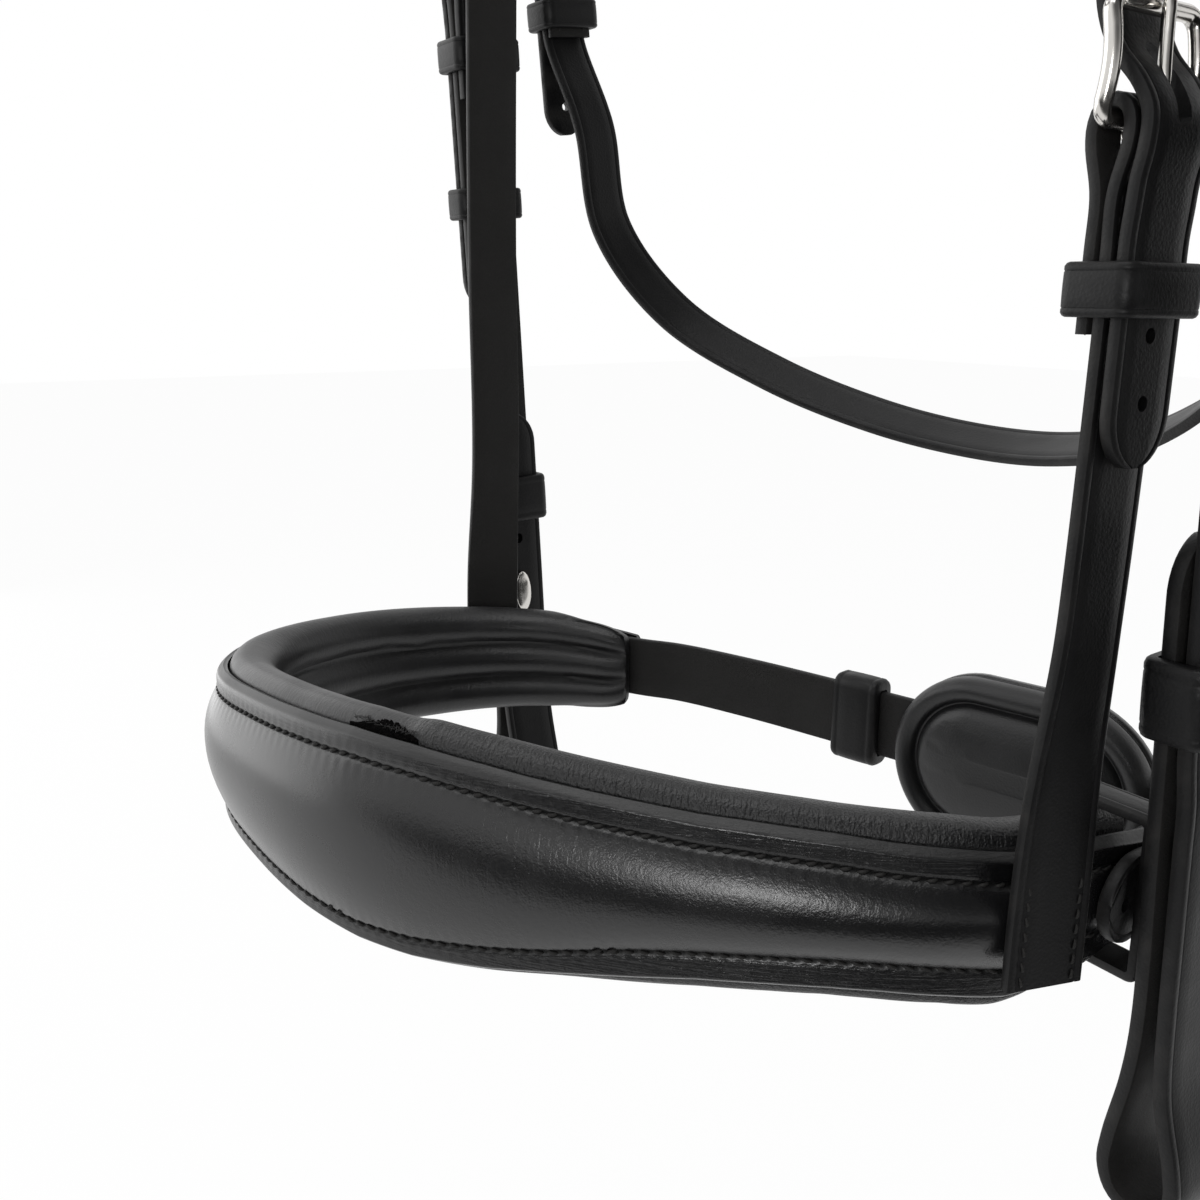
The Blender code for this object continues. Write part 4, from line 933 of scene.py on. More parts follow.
def punched(obj, punches, depth=PUNCH_DEPTH):
    """Punches oblong holes, each (spot, half length, half width), through a strap."""
    bm = bmesh.new()
    for spot, half_length, half_width in punches:
        outline_prism(bm, spot, half_length, half_width, depth)
    mesh = bpy.data.meshes.new("punch")
    bm.to_mesh(mesh)
    bm.free()
    tool = placed("punch", mesh)
    bpy.context.view_layer.update()
    carved(obj, tool, "DIFFERENCE")


def tongue_slot(spot):
    """The slot in a buckled strap, long enough for its tongue to lift."""
    return (spot.moved(0.00515, 0.0022), SLOT_HALF_LENGTH, SLOT_HALF_WIDTH)


def round_hole(spot, radius=HOLE_RADIUS):
    return (spot, radius, radius)


def strap_skin(name, route, facing, width, thick, tip_start=False, tip_end=False):
    """A bevelled strap along a route; facing gives its outer side, and asked tips are rounded."""
    total = arcs(route)
    length = total[-1]
    half = width / 2
    reach = half * 1.15
    steps = reach * np.array([0.03, 0.06, 0.11, 0.18, 0.28, 0.4, 0.55, 0.72, 0.9])
    s = np.linspace(0, length, max(3, int(length / STRAP_STEP)))
    if tip_start:
        s = np.concatenate([steps, s[s > reach]])
    if tip_end:
        s = np.concatenate([s[s < length - reach], length - steps[::-1]])
    centre = np.stack([np.interp(s, total, route[:, k]) for k in range(3)], -1)
    ahead = tangents(route)
    ahead = unit(np.stack([np.interp(s, total, ahead[:, k]) for k in range(3)], -1))
    face = np.stack([np.interp(s, total, facing[:, k]) for k in range(3)], -1)
    face = unit(face - np.sum(face * ahead, -1, keepdims=True) * ahead)
    across = np.cross(face, ahead)
    rings = []
    marks = []
    for i, x in enumerate(s):
        h = half
        if tip_start and x < reach:
            h = half * math.sqrt(max(0.02, 1 - (1 - x / reach) ** 2))
        if tip_end and length - x < reach:
            h = half * math.sqrt(max(0.02, 1 - (1 - (length - x) / reach) ** 2))
        section = strap_section(h, thick)
        rings.append([centre[i] + across[i] * a + face[i] * m for a, m, _, _ in section])
        marks.append([(x, a, 0.0, edge, flesh) for a, _, edge, flesh in section])
    obj = skin(name, rings, sharp=50)
    marks = np.array(marks).reshape(-1, 5)
    note(obj, "lie", marks[:, :3])
    note(obj, "edge", marks[:, 3])
    note(obj, "flesh", marks[:, 4])
    return obj


def turned(route):
    """Facing directions for a route round the noseband: away from the middle of the loop."""
    ahead = tangents(route)
    return np.stack([ahead[:, 1], -ahead[:, 0], 0 * ahead[:, 0]], -1)


def billet_points(reach, tail, fold, front=BAR_RADIUS):
    """Side view of a strap through a buckle: under its front bar, over its heel bar, and the tail."""
    under = -(front + GAP + STRAP_THICK / 2 + 0.0009)
    over = fold + GAP + STRAP_THICK / 2
    length = BUCKLE_LENGTH
    tail_length, rest = tail
    return [(length + reach, under), (length + reach * 0.5, under), (length + 0.0012, under),
            (length - 0.0058, under * 0.25), (length - 0.0110, over * 0.62), (0.0010, over),
            (-0.0040, over), (-0.0080, over * 0.45 + rest * 0.55), (-0.0120, rest + 0.0003),
            (-0.0160, rest), (-0.0220, rest), (-tail_length * 0.6 - 0.006, rest), (-tail_length, rest)]


strap_leather, shader, hide = surface("strap_leather", {"Specular IOR Level": 0.24, "Coat Weight": 0.02,
                                                        "Coat Roughness": 0.30})
place = hide.node("TexCoord", out="Object")
edge = noted(hide, "edge")
flesh = noted(hide, "flesh")
fine = noise(place, 2300.0, 5.0, Roughness=0.6)
pores = hide.node("TexVoronoi", {"feature": "SMOOTH_F1"},
                  {"Vector": place, "Scale": 1700.0, "Smoothness": 0.5}, out="Distance")
tone = noise(place, 90.0, 3.0).eased(0.35, 0.65) * 0.5 + fine * 0.5
# Painted highlight: the bevelled edges are lightened in patches, standing in for the light that they
# catch.
edge_sheen = edge * noise(place, 160.0, 4.0).eased(0.45, 0.75)
grain_side = blend(tone, (0.0026, 0.0026, 0.0029), (0.0050, 0.0049, 0.0052))
both_sides = blend(flesh, grain_side, (0.0090, 0.0085, 0.0080))
blend(edge_sheen * 0.6, both_sides, (0.018, 0.017, 0.016)).feed(shader, "Base Color")
(tone * 0.12 + flesh * 0.22 + edge * 0.05 + 0.40).feed(shader, "Roughness")
embossed(shader, fine * (flesh * 1.2 + 0.5) + pores * 0.5, 0.00007)

chin_point, chin_normal, chin_ahead = guide_at(CHIN_BUCKLE_ARC)
chin_spot = Spot(chin_point + chin_normal * 0.0012, chin_ahead, chin_normal)
chin_fold = BAR_RADIUS + FOLD_GAP + STRAP_THICK
chin_route = []
for back in (CHIN_TAIL, CHIN_TAIL - 0.006, 0.0155, 0.0120):
    s = CHIN_BUCKLE_ARC - back
    lift = BAND_THICK + raise_at(s) + GAP + STRAP_THICK / 2 + 0.0003
    chin_route.append(guide_spot(s, lift).o)
through_buckle = billet_points(0.005, (CHIN_TAIL, 0.0030), chin_fold, ROLLER_RADIUS)
chin_route += [chin_spot.at(x, z) for x, z in through_buckle[::-1] if x > -0.010]
off_end = GUIDE_LENGTH - BAND_END[OFF]
past_buckle = CHIN_BUCKLE_ARC + BUCKLE_LENGTH + 0.013
on_guide = (past_buckle, past_buckle + 0.0055, past_buckle + 0.0110, 0.240, 0.258, 0.276, 0.295, 0.310,
            0.335, off_end - 0.014)
for s, lift in [(s, 0.0) for s in on_guide] + [(off_end - 0.004, -0.0014), (off_end + 0.006, -0.0016),
                                               (off_end + 0.014, -0.0016)]:
    chin_route.append(guide_spot(s, lift).o)
chin_route = bends(chin_route, 0.0012)
chin_strap = strap_skin("chin_strap_leather", chin_route, turned(chin_route), CHIN_WIDTH, STRAP_THICK,
                        tip_start=True)
punched(chin_strap, [tongue_slot(chin_spot)] + [round_hole(guide_spot(CHIN_BUCKLE_ARC - d, 0.003))
                                                for d in CHIN_HOLES])
fitted(chin_strap, strap_leather, "headstall", "strap_leather", "chin_strap")


# Chin buckle and its chape: a short leather strip folded round the heel bar and sewn under the
# front leather. The buckle is a bent stainless rod with a tongue and a loose roller on its front.
CHAPE_ARCS = (0.1635, 0.169, 0.174, 0.1785)
FRAME_MARGIN = 0.0027
FRAME_CORNER = 0.0024
FRAME_BOW = 0.0012
TONGUE_RADIUS = 0.0010
TONGUE_PLAY = 0.00025
HEEL_SLOT_HALF = 0.0052
ROLLER_PLAY = 0.00012
ROLLER_EDGE = 0.0003

steel, shader, metal = surface("polished_steel", {"Metallic": 1.0})
place = metal.node("TexCoord", out="Object")
smears = noise(place, 320.0, 5.0)
scratches = noise(drawn_out(place, (1.0, 1.0, 0.08)), 4000.0, 2.0)
blend(smears, (0.58, 0.56, 0.53), (0.72, 0.70, 0.67)).feed(shader, "Base Color")
(smears.eased(0.4, 0.7) * 0.14 + 0.15).feed(shader, "Roughness")
embossed(shader, scratches, 0.00002, 0.35)


def rod(name, path, sizes, sides, up, closed=False):
    """A bent round rod; sizes gives its radius at each point of the path, and up turns its rings."""
    path = np.array(path)
    if closed:
        ahead = unit(np.roll(path, -1, axis=0) - np.roll(path, 1, axis=0))
    else:
        ahead = tangents(path)
    rings = []
    for centre, run, size in zip(path, ahead, sizes):
        side = unit(np.cross(run, up))
        other = np.cross(side, run)
        rings.append([centre + (side * math.cos(turn) + other * math.sin(turn)) * size
                      for turn in np.linspace(0, 2 * math.pi, sides, endpoint=False)])
    return skin(name, rings, closed=closed, sharp=60)


def rounded_corners(left, right, half, corner, steps):
    """A box's rounded corners in turn, each point as (x, y, outward x, outward y)."""
    points = []
    for x, y, start in ((right - corner, half - corner, 0), (left + corner, half - corner, 90),
                        (left + corner, corner - half, 180), (right - corner, corner - half, 270)):
        for turn in np.linspace(0, 90, steps):
            out = (math.cos(math.radians(start + turn)), math.sin(math.radians(start + turn)))
            points.append((x + corner * out[0], y + corner * out[1], *out))
    return points


def buckle(name, node, spot, width, body, front=BAR_RADIUS):
    """Bent-rod buckle and its tongue; spot is the middle of the heel bar."""
    half = width / 2 + FRAME_MARGIN
    path = [(x, y) for x, y, _, _ in rounded_corners(0.0, BUCKLE_LENGTH, half, FRAME_CORNER, 8)]
    dense = []
    for (x1, y1), (x2, y2) in zip(path, path[1:] + path[:1]):
        pieces = max(1, int(math.hypot(x2 - x1, y2 - y1) / 0.0012))
        dense += [(x1 + (x2 - x1) * k / pieces, y1 + (y2 - y1) * k / pieces) for k in range(pieces)]
    frame_path = []
    for x, y in dense:
        on_side = step_up(abs(y), half - FRAME_CORNER - 0.0006, half - 0.0004)
        rise = FRAME_BOW * math.sin(math.pi * min(max(x / BUCKLE_LENGTH, 0), 1)) * on_side
        frame_path.append(spot.at(x, rise, y))
    sizes = [BAR_RADIUS * (0.96 if x < 0.002 else 1.0) for x, y in dense]
    bent = rod(name + "_rod", frame_path, sizes, 14, spot.z, closed=True)
    fitted(bent, steel, "headstall", "steel", node + "_frame")
    ring = BAR_RADIUS + TONGUE_PLAY + TONGUE_RADIUS
    rest = front + 0.0001 + TONGUE_RADIUS
    loop = [spot.at(ring * math.cos(turn), ring * math.sin(turn))
            for turn in np.radians(np.linspace(-28, -235, 16))]
    prong = bends([spot.at(x, z) for x, z in
                   ((0.0004, ring), (0.0040, (ring + rest) / 2 + 0.0004), (0.0090, rest + 0.0002),
                    (BUCKLE_LENGTH - 0.002, rest), (BUCKLE_LENGTH + 0.0012, rest),
                    (BUCKLE_LENGTH + 0.0024, rest - 0.0003))], 0.0008)
    tongue = np.vstack([loop, prong])
    last = len(tongue) - 1
    sizes = [TONGUE_RADIUS * (1 - 0.45 * step_up(k, last - 4, last)) for k in range(len(tongue))]
    fitted(rod(name + "_prong", tongue, sizes, 10, spot.y), steel, body, "steel", node + "_tongue")


fold = BAR_RADIUS + FOLD_GAP + STRAP_THICK / 2
chape_route = [guide_spot(s, -0.0016).o for s in CHAPE_ARCS]
for x, z in ((-0.0045, -fold * 0.98), (-0.0005, -fold), (fold * 0.72, -fold * 0.72), (fold, 0.0),
             (fold * 0.72, fold * 0.72), (-0.0005, fold), (-0.0040, fold * 0.80),
             (-0.0068, fold * 0.60)):
    chape_route.append(chin_spot.at(x, z))
chape_route = bends(chape_route, 0.0008)
chape = strap_skin("chin_buckle_fold", chape_route, turned(chape_route), CHIN_WIDTH - 0.001,
                   STRAP_THICK * 0.92)
punched(chape, [(chin_spot, HEEL_SLOT_HALF, SLOT_HALF_WIDTH)])
fitted(chape, strap_leather, "headstall", "strap_leather", "chin_buckle_chape")
buckle("chin", "chin_buckle", chin_spot, CHIN_WIDTH, "chin_tongue", ROLLER_RADIUS)
roller_rings = []
front_bar = chin_spot.at(BUCKLE_LENGTH, 0)
roller_half = (CHIN_WIDTH - 0.002) / 2
for turn in np.linspace(0, 2 * math.pi, 28, endpoint=False):
    out = chin_spot.x * math.cos(turn) + chin_spot.z * math.sin(turn)
    wall = [(BAR_RADIUS + ROLLER_PLAY, roller_half), (ROLLER_RADIUS - ROLLER_EDGE, roller_half),
            (ROLLER_RADIUS, roller_half - 0.0004)]
    wall = [(r, -y) for r, y in wall] + wall[::-1]
    roller_rings.append([front_bar + out * r + chin_spot.y * y for r, y in wall])
roller = skin("chin_roller_tube", roller_rings, closed=True)
fitted(roller, steel, "chin_roller", "steel", "chin_buckle_roller")


# Keepers and runners: narrow strips of bridle leather bent round a stack of straps, with their
# ends butted and sewn on the inner side. Keepers are sewn in place, and runners slide.
KEEPER_THICK = 0.0020
CHIN_KEEPER_ARC = 0.1720
CHIN_KEEPER_LENGTH = 0.0075
CHIN_RUNNER_ARC = 0.3008
CHIN_RUNNER_LENGTH = 0.0125
CHIN_RUNNER_THICK = 0.0026
STRIP_EDGE = [(0.5, -0.5, 0), (0.5, 0.15, 1), (0.475, 0.36, 1), (0.42, 0.5, 0.5), (0.36, 0.5, 0),
              (0.335, 0.45, 0.2), (0.31, 0.5, 0), (0.1, 0.52, 0)]


def keeper(name, node, spot, half_width, low, high, length, body="headstall", thick=KEEPER_THICK):
    """A strip round a stack from z = low to high at spot, with eased edges and a crease on each."""
    a = half_width + GAP + thick / 2
    b = (high - low) / 2 + GAP + thick / 2
    mid = (high + low) / 2
    path = rounded_corners(-a, a, b, thick / 2 + 0.0006, 7)
    strip = [(-0.5, -0.5, 0)] + STRIP_EDGE + [(-x, r, edge) for x, r, edge in STRIP_EDGE[:0:-1]]
    rings = [[spot.at(x * length, mid + z + out_z * r * thick, y + out_y * r * thick)
              for x, r, _ in strip] for y, z, out_y, out_z in path]
    obj = skin(name, rings, closed=True, sharp=50)
    note(obj, "edge", [edge for _, _, edge in strip] * len(path))
    fitted(obj, strap_leather, body, "strap_leather", node)


keeper("chin_tail_loop", "chin_tail_keeper", guide_spot(CHIN_KEEPER_ARC),
       band_half(0.167) + PADDING_OVERHANG, -PADDING_THICK, BAND_THICK + GAP + STRAP_THICK + 0.0008,
       CHIN_KEEPER_LENGTH)
keeper("chin_strap_slide", "chin_strap_runner", guide_spot(CHIN_RUNNER_ARC), CHIN_WIDTH / 2,
       -STRAP_THICK / 2, STRAP_THICK / 2, CHIN_RUNNER_LENGTH, "chin_runner", CHIN_RUNNER_THICK)


# Chin pad: an oblong leather plate with round ends, and a soft cushion on the side that lies on the
# jaw. A groove is sewn round the cushion inside its thick rim, and two loops on the back ride on
# the chin strap.
PAD_ARC = 0.2545
PAD_HALF_LENGTH = 0.0300
PAD_HALF_HEIGHT = 0.0205
PAD_FACE = 0.0042
PAD_AROUND = 72
PAD_GROOVE = 0.0056
PAD_LEVELS = ((0.0008, 0.0030), (0.0001, 0.0036), (0.0000, 0.0050), (0.0004, 0.0070), (0.0018, 0.0085),
              (0.0034, 0.0086), (0.0047, 0.0078), (PAD_GROOVE, 0.0060), (0.0066, 0.0074),
              (0.0085, 0.0088), (0.0115, 0.0095), (0.0150, 0.0099), (0.0180, 0.0100))
PAD_SHARP = 60
PAD_LOOPS = (("near", -0.012), ("off", 0.016))
PAD_LOOP_THICK = 0.0018
LOOP_LENGTH = 0.0085
CUSHION_AIR = 50.0
CUSHION_SWELL = 0.0008


def pad_ring(rim, depth):
    """The pad's outline, pulled in by rim, at a depth inside the guide."""
    ring = []
    straight = PAD_HALF_LENGTH - PAD_HALF_HEIGHT
    for k in range(PAD_AROUND):
        angle = 2 * math.pi * (k + 0.5) / PAD_AROUND
        x = (straight if math.cos(angle) > 0 else -straight) + (PAD_HALF_HEIGHT - rim) * math.cos(angle)
        point, normal, _ = guide_at(PAD_ARC + x)
        ring.append(point - normal * depth + UP * ((PAD_HALF_HEIGHT - rim) * math.sin(angle)))
    return ring


def domed(name, levels):
    """A flat-backed pad from (rim, depth) levels; its last level is closed with strips across it."""
    rings = [pad_ring(rim, depth) for rim, depth in levels]
    obj = skin(name, rings)
    bm = bmesh.new()
    bm.from_mesh(obj.data)
    big = [face for face in bm.faces if len(face.verts) > 8]
    bmesh.ops.delete(bm, geom=big, context="FACES_ONLY")
    bm.verts.ensure_lookup_table()
    n = PAD_AROUND
    for start in (0, (len(levels) - 1) * n):
        order = [bm.verts[start + (n // 4 + k) % n] for k in range(n)]
        for k in range(n // 2):
            strip = (order[k], order[k + 1], order[n - k - 1], order[(n - k) % n])
            corners = list(dict.fromkeys(strip))
            if len(corners) > 2:
                bm.faces.new(corners)
    bmesh.ops.recalc_face_normals(bm, faces=bm.faces)
    bm.to_mesh(obj.data)
    bm.free()
    obj.data.shade_smooth()
    obj.data.set_sharp_from_angle(angle=math.radians(PAD_SHARP))
    return obj


backing = domed("chin_pad_back", [(rim, PAD_FACE + depth) for rim, depth in (
    (0.0012, 0.0), (0.0004, 0.0001), (0.0, 0.0006), (0.0, 0.0020), (0.0004, 0.0025), (0.0012, 0.0026))])
fitted(backing, smooth_leather, "chin_pad", "smooth_leather", "chin_pad_backing")

profile = bends([(rim, depth, 0.0) for rim, depth in PAD_LEVELS], 0.0007)
cushion = domed("chin_pad_soft_face", [(rim, PAD_FACE + depth) for rim, depth, _ in profile])
held = []
for i, (rim, depth, _) in enumerate(profile):
    if depth < 0.0034 or abs(rim - PAD_GROOVE) < 0.0005:
        held += range(i * PAD_AROUND, (i + 1) * PAD_AROUND)
swollen(cushion, held, CUSHION_AIR, CUSHION_SWELL)
smoothed(cushion)
fitted(cushion, soft_leather, "chin_pad", "soft_leather", "chin_pad_cushion")
for label, shift in PAD_LOOPS:
    keeper("chin_pad_holder_" + label, "chin_pad_loop_" + label, guide_spot(PAD_ARC + shift),
           CHIN_WIDTH / 2, -STRAP_THICK / 2 - 0.0006, STRAP_THICK / 2 + 0.0002, LOOP_LENGTH, "chin_pad",
           PAD_LOOP_THICK)


# Cheekpieces: each is one strap, folded round its buckle's bar at the top and sewn, that runs down
# to the bit, turns back and ends as a billet. A hook stud holds the billet, under a sewn keeper,
# and a runner above takes the loose tail of the headpiece.
SIDES = ((NEAR, "near"), (OFF, "off"))
CHEEK_THICK = 0.0028
CHEEK_WIDTH = 0.016
CHEEK_OUT = 0.1135
CHEEK_BUCKLE_Z = 0.190
BILLET_TIP_Z = 0.068
STUD_Z = 0.0115
BIT_LOOP_Z = -0.050
BIT_LOOP_RADIUS = 0.0065
BIT_FACE_OUT = 0.0006
BILLET_GAP = 0.0014
BILLET_HOLES = (0.018, 0.034)
BILLET_PUNCH_DEPTH = 0.0017
BILLET_KEEPER_Z = 0.0418
BILLET_KEEPER_LENGTH = 0.0135
CHEEK_KEEPER_DOWN = 0.0225
CHEEK_RUNNER_DOWN = 0.062
CHEEK_STITCH_MARGIN = 0.0026
CHEEK_Y = 0.0274
CHEEK_LEAN = 0.06
FOLD_HALF_TURN = 0.7071
FOLD_PITCH = 0.0028
FOLD_SLANT = 0.18
FOLD_THREAD = (0.00034, 0.00105)
FOLD_SEAM_START = -0.0095
STITCH_LIFT = 0.00012
LAYER_PLAY = 0.00035


def heel_slot(spot, half_length=HEEL_SLOT_HALF):
    """The slot in a fold that the tongue's eye turns in."""
    return (spot.moved(-0.0004), half_length, SLOT_HALF_WIDTH)


def cheek_y(z):
    """The cheekpieces lean: how far back the middle of one lies at a height."""
    return CHEEK_Y - CHEEK_LEAN * z


def flat_turned(route, side):
    """Facing directions for a route in a side's upright plane."""
    ahead = tangents(route)
    return np.stack([-side * ahead[:, 2], 0 * ahead[:, 0], side * ahead[:, 0]], -1)


def seam(spot, start, stop, half, height):
    """Two short rows of stitches that hold a fold, on the face at height."""
    return [(spot.at(x, height + STITCH_LIFT, y), unit(spot.x + FOLD_SLANT * spot.y * np.sign(y)),
             spot.z) for y in (half, -half) for x in np.arange(start, stop, -FOLD_PITCH)]


def fold_seam(spot, stop, half, height, back_stop=None):
    """The stitches of a seam through a buckle's fold, as they show on its face and on its back."""
    back = Spot(spot.o, spot.x, -spot.z)
    return (seam(spot, FOLD_SEAM_START, stop, half, height)
            + seam(back, FOLD_SEAM_START, back_stop or stop, half, height))


def stud_hook(name, node, spot, face):
    """Hook stud, turned and bent in one piece: a base plate, a neck, and a hook along the billet."""
    top = face + GAP
    levels = [(-top - d, r, r, 0.0) for d, r in
              ((0.0007, 0.0030), (0.0004, 0.0034), (0.0001, 0.0034), (0.0, 0.0030), (-0.0001, 0.0014))]
    levels.append((top, 0.0014, 0.0014, 0.0))
    levels += [(top + d, a, b, 0.0012) for d, a, b in
               ((0.0001, 0.00235, 0.0052), (0.0003, 0.00270, 0.0060), (0.0007, 0.00275, 0.0064),
                (0.0011, 0.00255, 0.0061), (0.0014, 0.00215, 0.0054), (0.0016, 0.0015, 0.0042),
                (0.0017, 0.0007, 0.0024))]
    rings = [[spot.at(shift + b * math.cos(turn), z, a * math.sin(turn))
              for turn in np.linspace(0, 2 * math.pi, 32, endpoint=False)] for z, a, b, shift in levels]
    fitted(skin(name, rings, sharp=60), steel, "headstall", "steel", node)


cheek_spots = {}
for side, label in SIDES:
    z = CHEEK_BUCKLE_Z
    d = FOLD_HALF_TURN
    r = BIT_LOOP_RADIUS
    fold = BAR_RADIUS + FOLD_GAP + CHEEK_THICK / 2
    layer = CHEEK_THICK / 2 + LAYER_PLAY
    inner = layer - CHEEK_THICK - BILLET_GAP
    loop = (layer + inner) / 2
    low = layer + BIT_FACE_OUT
    points = [(-layer, z - 0.034), (-layer, z - 0.026), (-layer, z - 0.018),
              (-layer - 0.0002, z - 0.012), (-layer - 0.0007, z - 0.007), (-fold, z - 0.002),
              (-fold * 0.92, z + fold * 0.38),
              (-fold * d, z + fold * d), (0.0, z + fold), (fold * d, z + fold * d),
              (fold * 0.92, z + fold * 0.38), (fold, z - 0.002), (layer + 0.0007, z - 0.007),
              (layer + 0.0002, z - 0.012), (layer, z - 0.018), (layer, z - 0.026), (layer, 0.120),
              (layer, 0.070), (layer, 0.044), (layer, 0.032), (low, 0.024), (low, 0.016), (low, -0.006),
              (low, -0.014), (layer + 0.0012, -0.031), (loop + r * 0.93, BIT_LOOP_Z + 0.006),
              (loop + r, BIT_LOOP_Z), (loop + r * d, BIT_LOOP_Z - r * d), (loop, BIT_LOOP_Z - r),
              (loop - r * d, BIT_LOOP_Z - r * d), (loop - r, BIT_LOOP_Z),
              (loop - r * 0.93, BIT_LOOP_Z + 0.006), (inner - 0.0012, -0.030), (inner, -0.018),
              (inner, 0.020), (inner, BILLET_TIP_Z)]
    route = bends([(side * (CHEEK_OUT + x), cheek_y(h), h) for x, h in points], 0.0010)
    cheek = strap_skin("cheek_strap_" + label, route, flat_turned(route, side), CHEEK_WIDTH,
                       CHEEK_THICK, tip_end=True)
    up_strap = (0, -CHEEK_LEAN, 1)
    spot = Spot((side * CHEEK_OUT, cheek_y(z), z), up_strap, (side, 0, 0))
    stud = Spot((side * (CHEEK_OUT + inner), cheek_y(STUD_Z), STUD_Z), up_strap, (-side, 0, 0))
    cheek_spots[side] = spot
    punched(cheek, [heel_slot(spot, 0.0056)])
    holes = [(stud, 0.0026, 0.0019)] + [(stud.moved(d), 0.0016, 0.0014) for d in BILLET_HOLES]
    punched(cheek, [(hole.moved(0.0, -0.0002), half_length, half_width)
                    for hole, half_length, half_width in holes], BILLET_PUNCH_DEPTH)
    fitted(cheek, strap_leather, "headstall", "strap_leather", "cheekpiece_" + label)
    buckle("cheek_" + label, "cheek_buckle_" + label, spot, CHEEK_WIDTH, "cheek_tongue_" + label)
    top = layer + CHEEK_THICK / 2
    rows = fold_seam(spot, -0.0335, CHEEK_WIDTH / 2 - CHEEK_STITCH_MARGIN, top, -0.0325)
    sewn("cheek_seam_" + label, rows, *FOLD_THREAD)
    stud_hook("billet_stud_" + label, "hook_stud_" + label, stud, CHEEK_THICK / 2)
    tail_high = top + GAP + STRAP_THICK + 0.0002
    keeper("cheek_loop_" + label, "cheek_keeper_" + label, spot.moved(-CHEEK_KEEPER_DOWN),
           CHEEK_WIDTH / 2, -top, tail_high, LOOP_LENGTH)
    keeper("cheek_slide_" + label, "cheek_runner_" + label, spot.moved(-CHEEK_RUNNER_DOWN),
           CHEEK_WIDTH / 2, layer - CHEEK_THICK / 2, tail_high, LOOP_LENGTH, "runner_" + label)
    lower = Spot((side * CHEEK_OUT, cheek_y(BILLET_KEEPER_Z), BILLET_KEEPER_Z), up_strap, (side, 0, 0))
    keeper("billet_loop_" + label, "billet_keeper_" + label, lower, CHEEK_WIDTH / 2,
           inner - CHEEK_THICK / 2, top, BILLET_KEEPER_LENGTH)


# Headpiece: a broad strap over the poll, split at each end into a wide tail for the cheekpiece and
# a narrow one for the throatlash, each punched for its buckle. Its edges are creased all along.
CROWN_WIDTH = 0.038
CROWN_THICK = 0.0028
ARCH_OUT = 0.108
ARCH_Z = 0.240
ARCH_RISE = 0.118
CROWN_Y = 0.024
CHEEK_TAIL_Y = 0.0140
CHEEK_TAIL = 0.092
CHEEK_HOLES = (0.030, 0.045, 0.076)
THROAT_TAIL_Y = 0.0355
THROAT_TAIL = 0.052
THROAT_HOLES = (0.034, 0.044)
SMALL_HOLE_RADIUS = 0.0012
THROAT_WIDTH = 0.013
THROAT_DROP = 0.040
THROAT_OUT = 0.1085
THROAT_BACK = 0.0400
BROWBAND_Z = 0.240


def arch(angle, out=0.0):
    """Point of the poll arch at an angle from the near side, moved outwards, and its outer side."""
    c, s = math.cos(angle), math.sin(angle)
    normal = unit(np.array([c / ARCH_OUT, 0.0, s / ARCH_RISE]))
    return np.array([ARCH_OUT * c, 0.0, ARCH_Z + ARCH_RISE * s]) + normal * out, normal


crown_route = []
crown_faces = []
for angle in np.linspace(math.radians(17), math.radians(163), 150):
    point, normal = arch(angle)
    crown_route.append(point + np.array([0.0, CROWN_Y, 0.0]))
    crown_faces.append(normal)
crown = strap_skin("headpiece_strap", np.array(crown_route), np.array(crown_faces), CROWN_WIDTH,
                   CROWN_THICK)


def tail(side, y_top, spot, reach, length, fold, rest, width):
    """A headpiece tail: down from the arch, through its buckle and on to its rounded end."""
    on_arch = [arch(math.radians(angle))[0] for angle in (26, 18, 10, 2)]
    points = [np.array([side * point[0], y_top, point[2]]) for point in on_arch]
    points += [spot.at(x, z) for x, z in billet_points(reach, (length, rest), fold)]
    route = bends(points, 0.0011)
    made = strap_skin("tail", route, flat_turned(route, side), width, STRAP_THICK, tip_end=True)
    bpy.context.view_layer.update()
    return made


throat_spots = {}
tail_punches = []
cheek_rest = CHEEK_THICK + LAYER_PLAY + GAP + STRAP_THICK / 2 + 0.0001
throat_rest = STRAP_THICK * 1.5 + 0.0006 + GAP
for side in (NEAR, OFF):
    spot = cheek_spots[side]
    throat_spot = Spot((side * THROAT_OUT, THROAT_BACK, BROWBAND_Z - THROAT_DROP), (0, -0.10, 1),
                       (side, 0, 0))
    throat_spots[side] = throat_spot
    wide = tail(side, CHEEK_TAIL_Y, spot, 0.020, CHEEK_TAIL, BAR_RADIUS + FOLD_GAP + CHEEK_THICK,
                cheek_rest, CHEEK_WIDTH)
    carved(crown, wide, "UNION")
    narrow = tail(side, THROAT_TAIL_Y, throat_spot, 0.012, THROAT_TAIL,
                  BAR_RADIUS + FOLD_GAP + STRAP_THICK, throat_rest, THROAT_WIDTH)
    carved(crown, narrow, "UNION")
    tail_punches += [tongue_slot(spot), tongue_slot(throat_spot)]
    tail_punches += [round_hole(spot.moved(-d, cheek_rest)) for d in CHEEK_HOLES]
    tail_punches += [round_hole(throat_spot.moved(-d, throat_rest), SMALL_HOLE_RADIUS)
                     for d in THROAT_HOLES]
punched(crown, tail_punches)
fitted(crown, strap_leather, "headstall", "strap_leather", "headpiece")


# Headpiece padding: a soft leather pad, filled with foam and channelled down the middle, that is
# sewn under the poll. Air pressure swells its two sides between the seams.
CROWN_PADDING_THICK = 0.0082
CROWN_PAD_AROUND = 44
CROWN_PAD_ENDS = (27.3, 152.7)
CROWN_PAD_GIRTH = 0.1
CROWN_SWELL = 0.0012
CROWN_STITCH_MARGIN = 0.0036
BACK = np.array([0.0, 1.0, 0.0])


